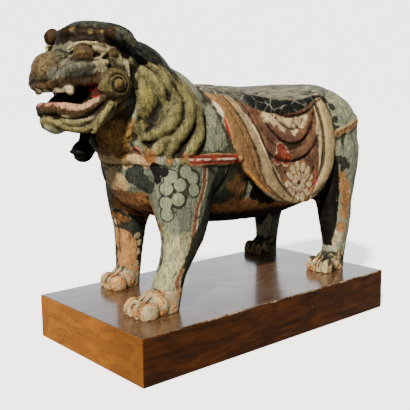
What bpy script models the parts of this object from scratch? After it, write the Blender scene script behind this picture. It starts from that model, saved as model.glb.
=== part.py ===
# A carved and painted wooden guardian lion with a saddle cloth, standing on a rectangular wooden plinth.
import math

import bmesh
import bpy
import numpy as np
from mathutils import Matrix, Vector
from mathutils.bvhtree import BVHTree

# Driving dimensions, in metres. X runs along the lion, its head at -X; its left side is at -Y; +Z is up.
lionHeight = 0.365  # from the soles to the crown
plinthHeight = 0.060
plinthFrontMargin = 0.031  # from the foremost toes to the front end
plinthRearMargin = 0.023  # from the hindmost paw to the rear end
plinthLeftMargin = 0.0425  # from the left paws to the left side
plinthRightMargin = 0.0035  # from the right paws to the right side
plinthEdge = 0.0015  # every edge worn this round
footGap = 0.0003  # between the soles and the plinth

# The figure is drawn in its own millimetres, 365 high, and brought to lionHeight at the end.
drawnHeight = 365.0
roughGrain = 4.5  # voxels of the blocked-out form
fineGrain = 2.4  # voxels of the carved form
lionTriangles = 8800

# Trunk sections: x, top, bottom, half width
trunk = [
    (-172, 204, 170, 20), (-163, 230, 150, 45), (-145, 256, 128, 66), (-112, 276, 110, 78), (-70, 283, 99, 83),
    (-30, 282, 92, 81), (20, 276, 87, 77), (70, 277, 86, 77), (120, 280, 89, 80), (165, 285, 98, 85),
    (205, 287, 116, 88), (234, 279, 138, 83), (254, 260, 160, 69), (266, 233, 184, 44),
]

# Legs, from the ground up: z, x, distance from the middle, half length, half width
frontLeft = [
    (-6, -150, 71, 22, 20), (15, -144, 71, 21, 20), (42, -136, 70, 20, 20), (63, -121, 68, 23, 21),
    (88, -110, 67, 31, 23), (115, -106, 63, 40, 26), (150, -104, 57, 48, 31), (190, -98, 48, 52, 36),
]
frontRight = [
    (-6, -112, 64, 20, 19), (15, -109, 65, 18, 18), (42, -106, 65, 19, 19), (63, -104, 65, 21, 20),
    (88, -103, 64, 25, 21), (115, -102, 61, 34, 25), (150, -100, 56, 44, 30), (190, -96, 48, 50, 36),
]
rearLeft = [
    (-6, 183, 76, 18, 18), (15, 186, 76, 18, 17), (38, 191, 75, 19, 17), (65, 196, 72, 25, 20),
    (95, 198, 68, 29, 22), (122, 200, 63, 35, 27), (155, 202, 57, 46, 33), (195, 200, 50, 57, 40),
]
rearRight = [
    (-6, 196, 79, 18, 17), (15, 196, 79, 18, 17), (38, 196, 78, 19, 18), (65, 195, 75, 23, 20),
    (95, 197, 69, 29, 23), (122, 200, 64, 36, 28), (155, 203, 57, 46, 34), (195, 202, 50, 57, 40),
]

# Paws: side, middle x, distance from the middle, half length, half width
paws = [(-1, -169, 71, 30, 24), (1, -124, 63, 27, 21), (-1, 167, 76, 27, 21), (1, 181, 80, 26, 20)]
pawTop = 31
toeCount = 4

# The saddle cloth from its left hem over the back: y, z, front x, rear x; the right half mirrors it.
clothThick = 11
clothPath = [
    (-84, 115, 76, 112), (-85, 121, 50, 132), (-85, 131, 30, 148), (-86, 146, 8, 159), (-86, 168, -14, 166),
    (-85, 192, -28, 169), (-82, 214, -37, 169), (-77, 234, -44, 166), (-69, 252, -48, 162), (-56, 267, -50, 157),
    (-38, 277, -51, 154), (-19, 281, -51, 153), (0, 282, -51, 152),
]


def bent(value, power):
    return math.copysign(abs(value) ** power, value)


def ringPoints(centre, halfA, halfB, squareness=2.0, segments=24):
    # A closed loop of points round centre, squarer as squareness grows.
    centre, halfA, halfB = Vector(centre), Vector(halfA), Vector(halfB)
    points = []
    for i in range(segments):
        turn = 2 * math.pi * i / segments
        points.append(centre + halfA * bent(math.cos(turn), 2 / squareness) + halfB * bent(math.sin(turn), 2 / squareness))
    return points


def addLoft(bm, rings):
    # A closed skin over loops of points that differ from end to end.
    loops = [[bm.verts.new(point) for point in ring] for ring in rings]
    for lower, upper in zip(loops, loops[1:]):
        for i in range(len(lower)):
            j = (i + 1) % len(lower)
            bm.faces.new((lower[i], lower[j], upper[j], upper[i]))
    bm.faces.new(loops[0][::-1])
    bm.faces.new(loops[-1])


def addBall(bm, centre, radii, tilt=(0, 0, 0)):
    # An ellipsoid, tilted by degrees about X, Y and Z.
    turn = Matrix.Identity(4)
    for axis, degrees in zip("XYZ", tilt):
        turn = Matrix.Rotation(math.radians(degrees), 4, axis) @ turn
    place = Matrix.Translation(centre) @ turn @ Matrix.Diagonal((*radii, 1))
    bmesh.ops.create_uvsphere(bm, u_segments=20, v_segments=12, radius=1.0, matrix=place)


def addBalls(bm, centre, radii, tilt=(0, 0, 0)):
    # The same ellipsoid on both sides of the lion.
    x, y, z = centre
    tiltX, tiltY, tiltZ = tilt
    addBall(bm, (x, y, z), radii, (tiltX, tiltY, tiltZ))
    addBall(bm, (x, -y, z), radii, (-tiltX, tiltY, -tiltZ))


def smoothPath(points, perSpan=5):
    # A Catmull-Rom curve through the points.
    ends = [Vector(p) for p in points]
    ends = [ends[0] * 2 - ends[1], *ends, ends[-1] * 2 - ends[-2]]
    path = []
    for a, b, c, d in zip(ends, ends[1:], ends[2:], ends[3:]):
        for step in range(perSpan):
            t = step / perSpan
            bend = (a * 2 - b * 5 + c * 4 - d) * t * t + (b * 3 - a - c * 3 + d) * t ** 3
            path.append(b + ((c - a) * t + bend) / 2)
    path.append(ends[-2].copy())
    return path


def spread(values, count):
    return np.interp(np.linspace(0, 1, count), np.linspace(0, 1, len(values)), values)


def addBar(bm, spots, ups, widths, heights, segments=12):
    # A round bar through the spots, its height along ups, with domed ends.
    count = len(spots)
    rings = []
    for i in range(count):
        along = (spots[min(i + 1, count - 1)] - spots[max(i - 1, 0)]).normalized()
        aside = along.cross(ups[i]).normalized()
        over = aside.cross(along).normalized()
        shares = [(0, 1.0)]
        if i == 0:
            shares = [(-0.94, 0.35), (-0.64, 0.77), (0, 1.0)]
        elif i == count - 1:
            shares = [(0, 1.0), (0.64, 0.77), (0.94, 0.35)]
        for ahead, share in shares:
            reach = min(widths[i], heights[i])
            rings.append(ringPoints(spots[i] + along * reach * ahead, aside * widths[i] * share, over * heights[i] * share,
                                    segments=segments))
    addLoft(bm, rings)


def addRope(bm, points, radii):
    path = smoothPath(points)
    sizes = spread(radii, len(path))
    ups = []
    for i in range(len(path)):
        along = (path[min(i + 1, len(path) - 1)] - path[max(i - 1, 0)]).normalized()
        ups.append(Vector((0, 0, 1)) if abs(along.z) < 0.9 else Vector((1, 0, 0)))
    addBar(bm, path, ups, sizes, sizes)


def addRidge(bm, tree, points, widths, heights):
    # A raised strip that follows the surface of tree near the points.
    path = smoothPath(points)
    spots, ups = [], []
    for point in path:
        spot, normal, face, gap = tree.find_nearest(point)
        spots.append(spot)
        ups.append(normal)
    addBar(bm, spots, ups, spread(widths, len(path)), spread(heights, len(path)))


def mirrored(points):
    return [(x, -y, z) for x, y, z in points]


def addRidges(bm, tree, points, widths, heights):
    addRidge(bm, tree, points, widths, heights)
    addRidge(bm, tree, mirrored(points), widths, heights)


def addRopes(bm, points, radii):
    addRope(bm, points, radii)
    addRope(bm, mirrored(points), radii)


def addTrunk(bm):
    rings = []
    for x, top, bottom, half in trunk:
        rings.append(ringPoints((x, 0, (top + bottom) / 2), (0, half, 0), (0, 0, (top - bottom) / 2), 2.4, 32))
    addLoft(bm, rings)


def addLeg(bm, side, sections, squareness):
    rings = []
    for z, x, out, long, wide in sections:
        rings.append(ringPoints((x, side * out, z), (long, 0, 0), (0, wide, 0), squareness))
    addLoft(bm, rings)


def addPaw(bm, side, x, out, long, wide):
    y = side * out
    addBall(bm, (x + long * 0.22, y, 10), (long * 0.76, wide * 0.92, pawTop - 11))
    toe = wide * 2 / toeCount
    for i in range(toeCount):
        across = (i - (toeCount - 1) / 2) * toe
        shorter = 1 - 0.28 * (across / wide) ** 2
        addBall(bm, (x - long * 0.50 * shorter, y + across, 7), (long * 0.48, toe * 0.60, pawTop - 17), (0, -6, 0))


def addNeckAndHead(bm):
    addBall(bm, (-108, 0, 238), (76, 78, 76))
    addBall(bm, (-146, 0, 278), (63, 67, 66))
    addBall(bm, (-145, 0, 240), (60, 60, 58))
    addBall(bm, (-186, 0, 308), (54, 59, 52))
    addBall(bm, (-192, 0, 334), (48, 54, 30))
    addBall(bm, (-216, 0, 322), (28, 45, 26))
    addBalls(bm, (-196, -32, 281), (34, 30, 34))
    addBall(bm, (-236, 0, 300), (32, 42, 17))


def addHeadForms(bm, tree):
    # nose, nostril wings and the two folds of the muzzle
    addBall(bm, (-250, 0, 303), (27, 29, 23))
    addBalls(bm, (-256, -14, 298), (17, 15, 16))
    addBalls(bm, (-240, -26, 301), (26, 20, 16), (0, 0, -25))
    addBalls(bm, (-224, -38, 303), (26, 17, 15), (0, 0, -18))
    addRopes(bm, [(-268, -22, 288), (-262, -32, 294), (-256, -38, 300), (-248, -43, 304), (-236, -48, 306), (-223, -52, 307),
                  (-211, -55, 311)], [5, 6.5, 7.5, 8, 7.5, 6.5, 4])
    addBalls(bm, (-238, -34, 295), (25, 13, 11), (0, 0, -25))
    addRopes(bm, [(-270, 0, 285), (-269, -12, 284), (-265, -24, 285), (-256, -35, 290), (-246, -42, 288), (-235, -47, 287),
                  (-223, -53, 293)], [5, 5, 5, 5, 5, 5, 4])
    # teeth of the upper jaw
    addRopes(bm, [(-268, 0, 280), (-265, -14, 280), (-259, -28, 280), (-251, -38, 281)], [4, 4, 4])
    addBalls(bm, (-251, -39, 280), (6, 5, 6.5))
    # lower lip, the fringe of hair under it, the floor of the mouth, tongue and chin
    addRopes(bm, [(-262, 0, 258), (-260, -14, 259), (-253, -29, 258), (-244, -40, 256), (-233, -47, 258), (-221, -53, 266),
                  (-211, -57, 275)], [7, 7, 7.5, 7.5, 7.5, 7, 5])
    addRopes(bm, [(-258, 0, 246), (-255, -14, 244), (-248, -28, 239), (-238, -39, 236), (-226, -47, 239), (-215, -55, 250),
                  (-206, -59, 262)], [8, 8, 8, 8, 8, 7, 5])
    addBalls(bm, (-234, -34, 249), (28, 17, 14), (0, 0, -28))
    addBalls(bm, (-218, -46, 258), (20, 13, 17), (0, 0, -20))
    addBall(bm, (-228, 0, 245), (34, 44, 16))
    addBall(bm, (-243, 0, 259), (22, 20, 7))
    addBall(bm, (-250, 0, 238), (15, 15, 11))
    # eyes with their lids, and the knob behind each
    addBalls(bm, (-231, -38, 321), (13, 10, 10), (0, 0, -25))
    addRopes(bm, [(-244, -26, 327), (-238, -36, 333), (-225, -46, 333), (-210, -54, 327)], [3, 3, 3, 3])
    addRopes(bm, [(-245, -28, 319), (-236, -40, 312), (-222, -49, 314), (-211, -54, 321)], [3, 3, 3, 3])
    addBalls(bm, (-200, -54, 321), (7, 5, 6))
    addBalls(bm, (-204, -48, 330), (20, 10, 12))
    # brow, the thick edge of the hair that overhangs the eyes
    addRopes(bm, [(-232, 0, 347), (-229, -13, 347), (-220, -28, 346), (-209, -42, 344), (-198, -53, 341)], [8, 8, 8, 8, 7])
    addBall(bm, (-202, 0, 345), (32, 47, 19))
    addBall(bm, (-186, 0, 342), (40, 54, 21))
    # ears, laid back, and the knob that stands free of the brow on the right side
    addRopes(bm, [(-206, -58, 345), (-196, -61, 343), (-184, -64, 336), (-171, -66, 327)], [8, 9, 8, 4])
    addBall(bm, (-217, 59, 347), (12, 12, 12))
    # whorls of hair on the cheeks
    addBalls(bm, (-204, -59, 287), (19, 8, 18), (0, 0, -12))
    for side in (-1, 1):
        spiral = []
        for step in range(15):
            turn = math.radians(200 - step * 38)
            reach = 15.5 - step * 0.86
            lean = 1.5 + step * 0.25
            spiral.append((-204 + reach * math.cos(turn), side * (64 + lean - 0.2 * reach * math.cos(turn)),
                           287 + reach * math.sin(turn)))
        addRope(bm, spiral, [3.2, 4.2, 4.2, 3.6])
    # hair rising from the jaw round each whorl, and a tuft below it
    addRidges(bm, tree, [(-222, -58, 258), (-210, -64, 262), (-196, -66, 268), (-184, -68, 280), (-181, -66, 296),
                         (-184, -64, 310)], [4, 5, 5, 5, 4, 3], [4, 5, 6, 6, 5, 4])
    addRopes(bm, [(-212, -61, 262), (-222, -56, 246), (-228, -49, 231)], [5, 6, 4])
    # bell on its ribbon
    addRope(bm, [(-204, 0, 236), (-211, 0, 224), (-214, 0, 212)], [8, 7, 6])
    addBall(bm, (-215, 0, 204), (14, 14, 14))
    addRope(bm, [(-215 + 14 * math.cos(a), 14 * math.sin(a), 204) for a in np.linspace(0, 2 * math.pi, 13)], [2.2, 2.2])


def addMane(bm, tree):
    locks = [
        ([(-136, -56, 306), (-120, -66, 288), (-107, -74, 270), (-106, -80, 254), (-110, -82, 239), (-120, -84, 225),
          (-132, -85, 213), (-140, -85, 202), (-142, -84, 192)], [4, 9, 11, 11, 11, 11, 10, 8, 5]),
        ([(-152, -54, 308), (-138, -64, 297), (-128, -72, 282), (-126, -80, 267), (-129, -84, 252), (-137, -85, 239),
          (-149, -84, 230), (-161, -80, 223), (-172, -72, 214)], [4, 8, 10, 11, 11, 11, 10, 9, 6]),
        ([(-163, -58, 302), (-150, -66, 290), (-142, -72, 277), (-141, -80, 261), (-147, -82, 249), (-157, -80, 240)],
         [6, 8, 9, 9, 8, 5]),
        ([(-128, -84, 224), (-146, -84, 214), (-162, -80, 208), (-176, -70, 202)], [6, 9, 9, 6]),
        ([(-112, -52, 296), (-96, -70, 270), (-90, -78, 246), (-93, -82, 224), (-104, -84, 206), (-114, -84, 197)],
         [3, 9, 10, 10, 9, 6]),
    ]
    for points, widths in locks:
        addRidges(bm, tree, points, [w * 1.12 for w in widths], [w * 0.72 for w in widths])
    # low field of hair between the cheek and the locks
    addRidges(bm, tree, [(-164, -62, 300), (-161, -70, 278), (-161, -74, 258), (-166, -74, 240), (-174, -70, 224)],
              [12, 17, 18, 16, 11], [4, 5, 6, 5, 4])
    # edge of the hair behind the cheek
    addRidges(bm, tree, [(-182, -64, 300), (-172, -70, 272), (-175, -72, 252), (-186, -70, 234), (-194, -66, 214)],
              [4, 4, 4, 4, 3], [2.5, 3, 3, 3, 2.5])


def addCloth(bm):
    # One sheet laid over the back, both flaps hanging clear of the belly.
    path = clothPath + [(-y, z, front, rear) for y, z, front, rear in clothPath[-2::-1]]
    rings = []
    for i, (y, z, front, rear) in enumerate(path):
        before, after = path[max(i - 1, 0)], path[min(i + 1, len(path) - 1)]
        along = Vector((0, after[0] - before[0], after[1] - before[1])).normalized()
        out = Vector((0, -along.z, along.y))
        thick = clothThick / 2
        middle = Vector(((front + rear) / 2, y, z)) - out * 0.5
        ring = ringPoints(middle, ((rear - front) / 2, 0, 0), out * thick, 5.0, 40)
        for point in ring:
            # the sheet follows the dip of the back
            share = min(max((z - 235) / 45, 0), 1)
            point.z += share * float(np.interp(point.x, [-50, -20, 30, 90, 155], [1, 1, -3, -2, 3]))
        rings.append(ring)
    addLoft(bm, rings)


def addHarness(bm, tree):
    # thick rolled rear edge of the cloth, its front border fold and the swags between them
    addRidges(bm, tree, [(152, -48, 276), (156, -66, 262), (160, -78, 242), (160, -85, 214), (158, -88, 187), (151, -90, 161),
                         (136, -90, 142), (114, -90, 127)], [7, 11, 13, 13, 13, 12, 9, 5], [3, 4, 5, 5, 5, 4.5, 4, 2])
    addRidges(bm, tree, [(-44, -42, 281), (-26, -60, 270), (-14, -72, 255), (-2, -80, 230), (11, -86, 204), (21, -89, 178),
                         (30, -90, 156), (48, -90, 134), (73, -90, 121)],
              [4, 6, 8, 9, 9, 9, 9, 7, 4], [1.5, 2, 2.6, 3, 3, 3, 3, 2.4, 1.5])
    addRidges(bm, tree, [(18, -66, 254), (30, -70, 242), (45, -78, 227), (62, -84, 215), (80, -86, 210), (102, -82, 220),
                         (120, -76, 239), (132, -68, 254)], [4, 7, 9, 10, 10, 9, 7, 4], [1.5, 2, 2.8, 3, 3, 2.8, 2, 1.5])
    addRidges(bm, tree, [(6, -74, 244), (14, -82, 216), (33, -87, 196), (66, -89, 185), (102, -88, 192), (124, -84, 211),
                         (135, -76, 238)], [3, 5, 8, 8, 8, 6, 3], [1, 1.6, 2.2, 2.4, 2.2, 1.8, 1])
    # breast band and crupper
    addRidge(bm, tree, [(-22, -84, 187), (-60, -87, 189), (-100, -83, 191), (-135, -72, 193), (-160, -48, 195), (-172, 0, 196),
                        (-160, 48, 195), (-135, 72, 193), (-100, 83, 191), (-60, 87, 189), (-22, 84, 187)], [8, 8], [3.2, 3.2])
    addRidge(bm, tree, [(160, -85, 207), (205, -84, 219), (240, -70, 230), (262, -38, 238), (268, 0, 241),
                        (262, 38, 238), (240, 70, 230), (205, 84, 219), (160, 85, 207)], [7, 7], [2.8, 2.8])
    # tail lying against the rump
    addRidge(bm, tree, [(250, 0, 268), (266, 0, 246), (270, 0, 222), (268, 0, 200), (262, 0, 178)], [6, 8, 8, 12, 7],
             [7, 9, 9, 11, 6])


def addPad(bm):
    # Saddle pad over the cloth, its sides reaching lowest in the middle: x, top, lower edge, half width
    rings = []
    for x, top, low, half in ((18, 276, 269, 40), (32, 278, 264, 60), (50, 282, 254, 73), (72, 285, 245, 80), (100, 286, 244, 81),
                              (128, 287, 251, 78), (152, 287, 260, 70), (180, 288, 266, 58), (208, 288, 270, 45), (232, 282, 271, 26)):
        rings.append(ringPoints((x, 0, low), (0, half, 0), (0, 0, top - low), 2.3, 32))
    addLoft(bm, rings)


def meshOf(bm, name):
    bmesh.ops.recalc_face_normals(bm, faces=bm.faces)
    mesh = bpy.data.meshes.new(name)
    bm.to_mesh(mesh)
    bm.free()
    return mesh


def evaluated(obj):
    graph = bpy.context.evaluated_depsgraph_get()
    mesh = bpy.data.meshes.new_from_object(obj.evaluated_get(graph))
    bpy.data.objects.remove(obj)
    return mesh


def standIn(mesh):
    obj = bpy.data.objects.new("working", mesh)
    bpy.context.scene.collection.objects.link(obj)
    return obj


def fused(mesh, grain, rounds):
    # All the closed shapes in the mesh become one skin, which is then smoothed.
    obj = standIn(mesh)
    remesh = obj.modifiers.new("Remesh", "REMESH")
    remesh.mode = "VOXEL"
    remesh.voxel_size = grain
    smooth = obj.modifiers.new("Smooth", "SMOOTH")
    smooth.factor = 0.5
    smooth.iterations = rounds
    return evaluated(obj)


def cut(mesh, cutterMesh):
    obj, cutter = standIn(mesh), standIn(cutterMesh)
    boolean = obj.modifiers.new("Cut", "BOOLEAN")
    boolean.operation = "DIFFERENCE"
    boolean.solver = "EXACT"
    boolean.object = cutter
    made = evaluated(obj)
    bpy.data.objects.remove(cutter)
    return made


def mouthCutter():
    bm = bmesh.new()
    addBall(bm, (-246, 0, 270), (40, 46, 10))
    return meshOf(bm, "mouth")


def treeOf(mesh):
    bm = bmesh.new()
    bm.from_mesh(mesh)
    tree = BVHTree.FromBMesh(bm)
    bm.free()
    return tree


def blockedOut():
    bm = bmesh.new()
    addTrunk(bm)
    addLeg(bm, -1, frontLeft, 2.2)
    addLeg(bm, 1, frontRight, 2.2)
    addLeg(bm, -1, rearLeft, 2.7)
    addLeg(bm, 1, rearRight, 2.7)
    addNeckAndHead(bm)
    rough = fused(meshOf(bm, "blocks"), roughGrain, 8)
    return cut(rough, mouthCutter())


def carvedLion():
    rough = blockedOut()
    bodyTree = treeOf(rough)
    clothed = bmesh.new()
    clothed.from_mesh(rough)
    addCloth(clothed)
    addPad(clothed)
    clothed = fused(meshOf(clothed, "clothed"), 3.4, 2)
    clothTree = treeOf(clothed)
    bm = bmesh.new()
    for paw in paws:
        addPaw(bm, *paw)
    addHeadForms(bm, bodyTree)
    addMane(bm, bodyTree)
    addHarness(bm, clothTree)
    bm.from_mesh(clothed)
    return fused(meshOf(bm, "carved"), fineGrain, 2)


def reduced(mesh, triangles):
    obj = standIn(mesh)
    count = sum(len(face.vertices) - 2 for face in mesh.polygons)
    decimate = obj.modifiers.new("Decimate", "DECIMATE")
    decimate.ratio = triangles / count
    decimate.use_collapse_triangulate = True
    return evaluated(obj)


def dropCrumbs(bm):
    # Cutting and thinning can leave loose specks beside the figure; only the largest shell stays.
    unseen = set(bm.verts)
    shells = []
    while unseen:
        shell, edge = [], [unseen.pop()]
        while edge:
            vert = edge.pop()
            shell.append(vert)
            for link in vert.link_edges:
                other = link.other_vert(vert)
                if other in unseen:
                    unseen.remove(other)
                    edge.append(other)
        shells.append(shell)
    shells.sort(key=len)
    for shell in shells[:-1]:
        bmesh.ops.delete(bm, geom=shell, context="VERTS")


def flatSoles(mesh):
    bm = bmesh.new()
    bm.from_mesh(mesh)
    bmesh.ops.bisect_plane(bm, geom=[*bm.verts, *bm.edges, *bm.faces], dist=0.01, plane_co=(0, 0, 0), plane_no=(0, 0, -1),
                           clear_outer=True)
    bmesh.ops.holes_fill(bm, edges=[edge for edge in bm.edges if edge.is_boundary], sides=0)
    dropCrumbs(bm)
    bmesh.ops.triangulate(bm, faces=bm.faces)
    bmesh.ops.recalc_face_normals(bm, faces=bm.faces)
    bm.to_mesh(mesh)
    bm.free()
    return mesh


def paint(obj, name, colour, roughness):
    material = bpy.data.materials.new(name)
    material.use_nodes = True
    shader = material.node_tree.nodes["Principled BSDF"]
    shader.inputs["Base Color"].default_value = (*colour, 1)
    shader.inputs["Roughness"].default_value = roughness
    obj.data.materials.clear()
    obj.data.materials.append(material)


def main():
    for obj in list(bpy.data.objects):
        bpy.data.objects.remove(obj)
    collection = bpy.data.collections.new("guardian_lion")
    bpy.context.scene.collection.children.link(collection)
    scale = lionHeight / drawnHeight

    # The plinth reaches past the paws by its margins, and its middle is the origin.
    front = min(x - long for side, x, out, long, wide in paws) * scale - plinthFrontMargin
    rear = max(x + long for side, x, out, long, wide in paws) * scale + plinthRearMargin
    left = min(side * out - wide for side, x, out, long, wide in paws) * scale - plinthLeftMargin
    right = max(side * out + wide for side, x, out, long, wide in paws) * scale + plinthRightMargin

    lion = bpy.data.objects.new("lion", flatSoles(reduced(carvedLion(), lionTriangles)))
    lion.data.transform(Matrix.Scale(scale, 4))
    lion.location = (-(front + rear) / 2, -(left + right) / 2, plinthHeight + footGap)
    collection.objects.link(lion)
    paint(lion, "Worn Paint", (0.23, 0.22, 0.15), 0.6)

    bm = bmesh.new()
    bmesh.ops.create_cube(bm, size=1, matrix=Matrix.Diagonal((rear - front, right - left, plinthHeight, 1)))
    plinth = bpy.data.objects.new("plinth", meshOf(bm, "plinth"))
    plinth.location = (0, 0, plinthHeight / 2)
    bevel = plinth.modifiers.new("Bevel", "BEVEL")
    bevel.width = plinthEdge
    bevel.segments = 2
    collection.objects.link(plinth)
    paint(plinth, "Varnished Wood", (0.10, 0.035, 0.015), 0.35)


main()
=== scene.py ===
import math
import time

import bmesh
import bpy
import numpy as np
from mathutils import Matrix, Vector
from mathutils.bvhtree import BVHTree


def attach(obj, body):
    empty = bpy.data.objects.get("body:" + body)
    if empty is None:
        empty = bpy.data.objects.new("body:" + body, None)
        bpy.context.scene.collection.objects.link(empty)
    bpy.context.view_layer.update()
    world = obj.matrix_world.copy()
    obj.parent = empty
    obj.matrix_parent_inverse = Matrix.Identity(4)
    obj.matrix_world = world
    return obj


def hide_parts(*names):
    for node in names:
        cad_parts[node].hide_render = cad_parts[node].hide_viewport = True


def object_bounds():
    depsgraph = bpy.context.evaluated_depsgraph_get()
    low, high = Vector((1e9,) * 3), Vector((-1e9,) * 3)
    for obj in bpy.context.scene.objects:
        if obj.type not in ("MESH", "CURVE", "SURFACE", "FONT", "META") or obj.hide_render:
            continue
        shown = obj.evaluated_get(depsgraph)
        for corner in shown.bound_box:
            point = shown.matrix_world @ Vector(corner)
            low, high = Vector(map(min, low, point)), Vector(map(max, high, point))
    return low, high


started = time.time()
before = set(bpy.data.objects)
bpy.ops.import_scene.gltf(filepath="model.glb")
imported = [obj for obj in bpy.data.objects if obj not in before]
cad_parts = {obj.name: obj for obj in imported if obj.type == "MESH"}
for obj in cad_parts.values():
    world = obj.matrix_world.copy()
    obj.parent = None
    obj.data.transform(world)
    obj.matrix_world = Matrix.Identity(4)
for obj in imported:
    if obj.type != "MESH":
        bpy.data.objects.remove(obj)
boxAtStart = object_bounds()
print("frame loaded")


def tell(stage):
    print(stage, round(time.time() - started, 1), "s")


# what a user would change on the figure; its forms are drawn in millimetres, 365 from soles to crown
figure = {
    "height": 0.365,
    "drawn": 365.0,
    "place": (0.0, 0.018, 0.0603),  # the figure's own origin, between its soles, in the frame
    "roughGrain": 3.8,  # voxels of the blocked-out form
    "clothGrain": 2.4,
    "fineGrain": 1.45,
    "triangles": 196000,
    "seed": 7,
}


def bent(value, power):
    return math.copysign(abs(value) ** power, value)


def ringPoints(centre, halfA, halfB, squareness=2.0, segments=24):
    centre, halfA, halfB = Vector(centre), Vector(halfA), Vector(halfB)
    points = []
    for i in range(segments):
        turn = 2 * math.pi * i / segments
        across = halfA * bent(math.cos(turn), 2 / squareness)
        points.append(centre + across + halfB * bent(math.sin(turn), 2 / squareness))
    return points


def addLoft(bm, rings):
    # a closed skin over loops of points: each circle is moved to its points and bridged to the last
    part = bmesh.new()
    loops = []
    for ring in rings:
        made = bmesh.ops.create_circle(part, segments=len(ring), radius=1.0, cap_ends=False)
        for vert, point in zip(made["verts"], ring):
            vert.co = point
        loops.append(list({edge for vert in made["verts"] for edge in vert.link_edges}))
    for lower, upper in zip(loops, loops[1:]):
        bmesh.ops.bridge_loops(part, edges=lower + upper)
    for end in (loops[0], loops[-1]):
        bmesh.ops.contextual_create(part, geom=end)
    bmesh.ops.recalc_face_normals(part, faces=part.faces)
    mesh = bpy.data.meshes.new("loft")
    part.to_mesh(mesh)
    part.free()
    bm.from_mesh(mesh)
    bpy.data.meshes.remove(mesh)


def addBall(bm, centre, radii, tilt=(0, 0, 0)):
    turn = Matrix.Identity(4)
    for axis, degrees in zip("XYZ", tilt):
        turn = Matrix.Rotation(math.radians(degrees), 4, axis) @ turn
    place = Matrix.Translation(centre) @ turn @ Matrix.Diagonal((*radii, 1))
    bmesh.ops.create_uvsphere(bm, u_segments=24, v_segments=14, radius=1.0, matrix=place)


def addBalls(bm, centre, radii, tilt=(0, 0, 0)):
    # the same ellipsoid on both sides of the lion
    x, y, z = centre
    tiltX, tiltY, tiltZ = tilt
    addBall(bm, (x, y, z), radii, (tiltX, tiltY, tiltZ))
    addBall(bm, (x, -y, z), radii, (-tiltX, tiltY, -tiltZ))


def smoothPath(points, perSpan=5):
    # a Catmull-Rom curve through the points
    ends = [Vector(p) for p in points]
    ends = [ends[0] * 2 - ends[1], *ends, ends[-1] * 2 - ends[-2]]
    path = []
    for a, b, c, d in zip(ends, ends[1:], ends[2:], ends[3:]):
        for step in range(perSpan):
            t = step / perSpan
            bend = (a * 2 - b * 5 + c * 4 - d) * t * t + (b * 3 - a - c * 3 + d) * t ** 3
            path.append(b + ((c - a) * t + bend) / 2)
    path.append(ends[-2].copy())
    return path


def spread(values, count):
    return np.interp(np.linspace(0, 1, count), np.linspace(0, 1, len(values)), values)


def addBar(bm, spots, ups, widths, heights, segments=14):
    # a round bar through the spots, its height along ups, with domed ends
    count = len(spots)
    rings = []
    for i in range(count):
        along = (spots[min(i + 1, count - 1)] - spots[max(i - 1, 0)]).normalized()
        aside = along.cross(ups[i]).normalized()
        over = aside.cross(along).normalized()
        shares = [(0, 1.0)]
        if i == 0:
            shares = [(-0.94, 0.35), (-0.64, 0.77), (0, 1.0)]
        elif i == count - 1:
            shares = [(0, 1.0), (0.64, 0.77), (0.94, 0.35)]
        for ahead, share in shares:
            reach = min(widths[i], heights[i])
            spot = spots[i] + along * reach * ahead
            rings.append(ringPoints(spot, aside * widths[i] * share, over * heights[i] * share,
                                    segments=segments))
    addLoft(bm, rings)


def addRope(bm, points, radii):
    path = smoothPath(points)
    sizes = spread(radii, len(path))
    ups = []
    for i in range(len(path)):
        along = (path[min(i + 1, len(path) - 1)] - path[max(i - 1, 0)]).normalized()
        ups.append(Vector((0, 0, 1)) if abs(along.z) < 0.9 else Vector((1, 0, 0)))
    addBar(bm, path, ups, sizes, sizes)


def onSurface(tree, points, perSpan=5):
    spots, ups = [], []
    for point in smoothPath(points, perSpan):
        spot, normal, face, gap = tree.find_nearest(point)
        spots.append(spot)
        ups.append(normal)
    return spots, ups


def addRidge(bm, tree, points, widths, heights):
    # a raised strip that follows the surface near the points
    spots, ups = onSurface(tree, points)
    addBar(bm, spots, ups, spread(widths, len(spots)), spread(heights, len(spots)))


def mirrored(points):
    return [(x, -y, z) for x, y, z in points]


def addRidges(bm, tree, points, widths, heights):
    addRidge(bm, tree, points, widths, heights)
    addRidge(bm, tree, mirrored(points), widths, heights)


def addRopes(bm, points, radii):
    addRope(bm, points, radii)
    addRope(bm, mirrored(points), radii)


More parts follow.
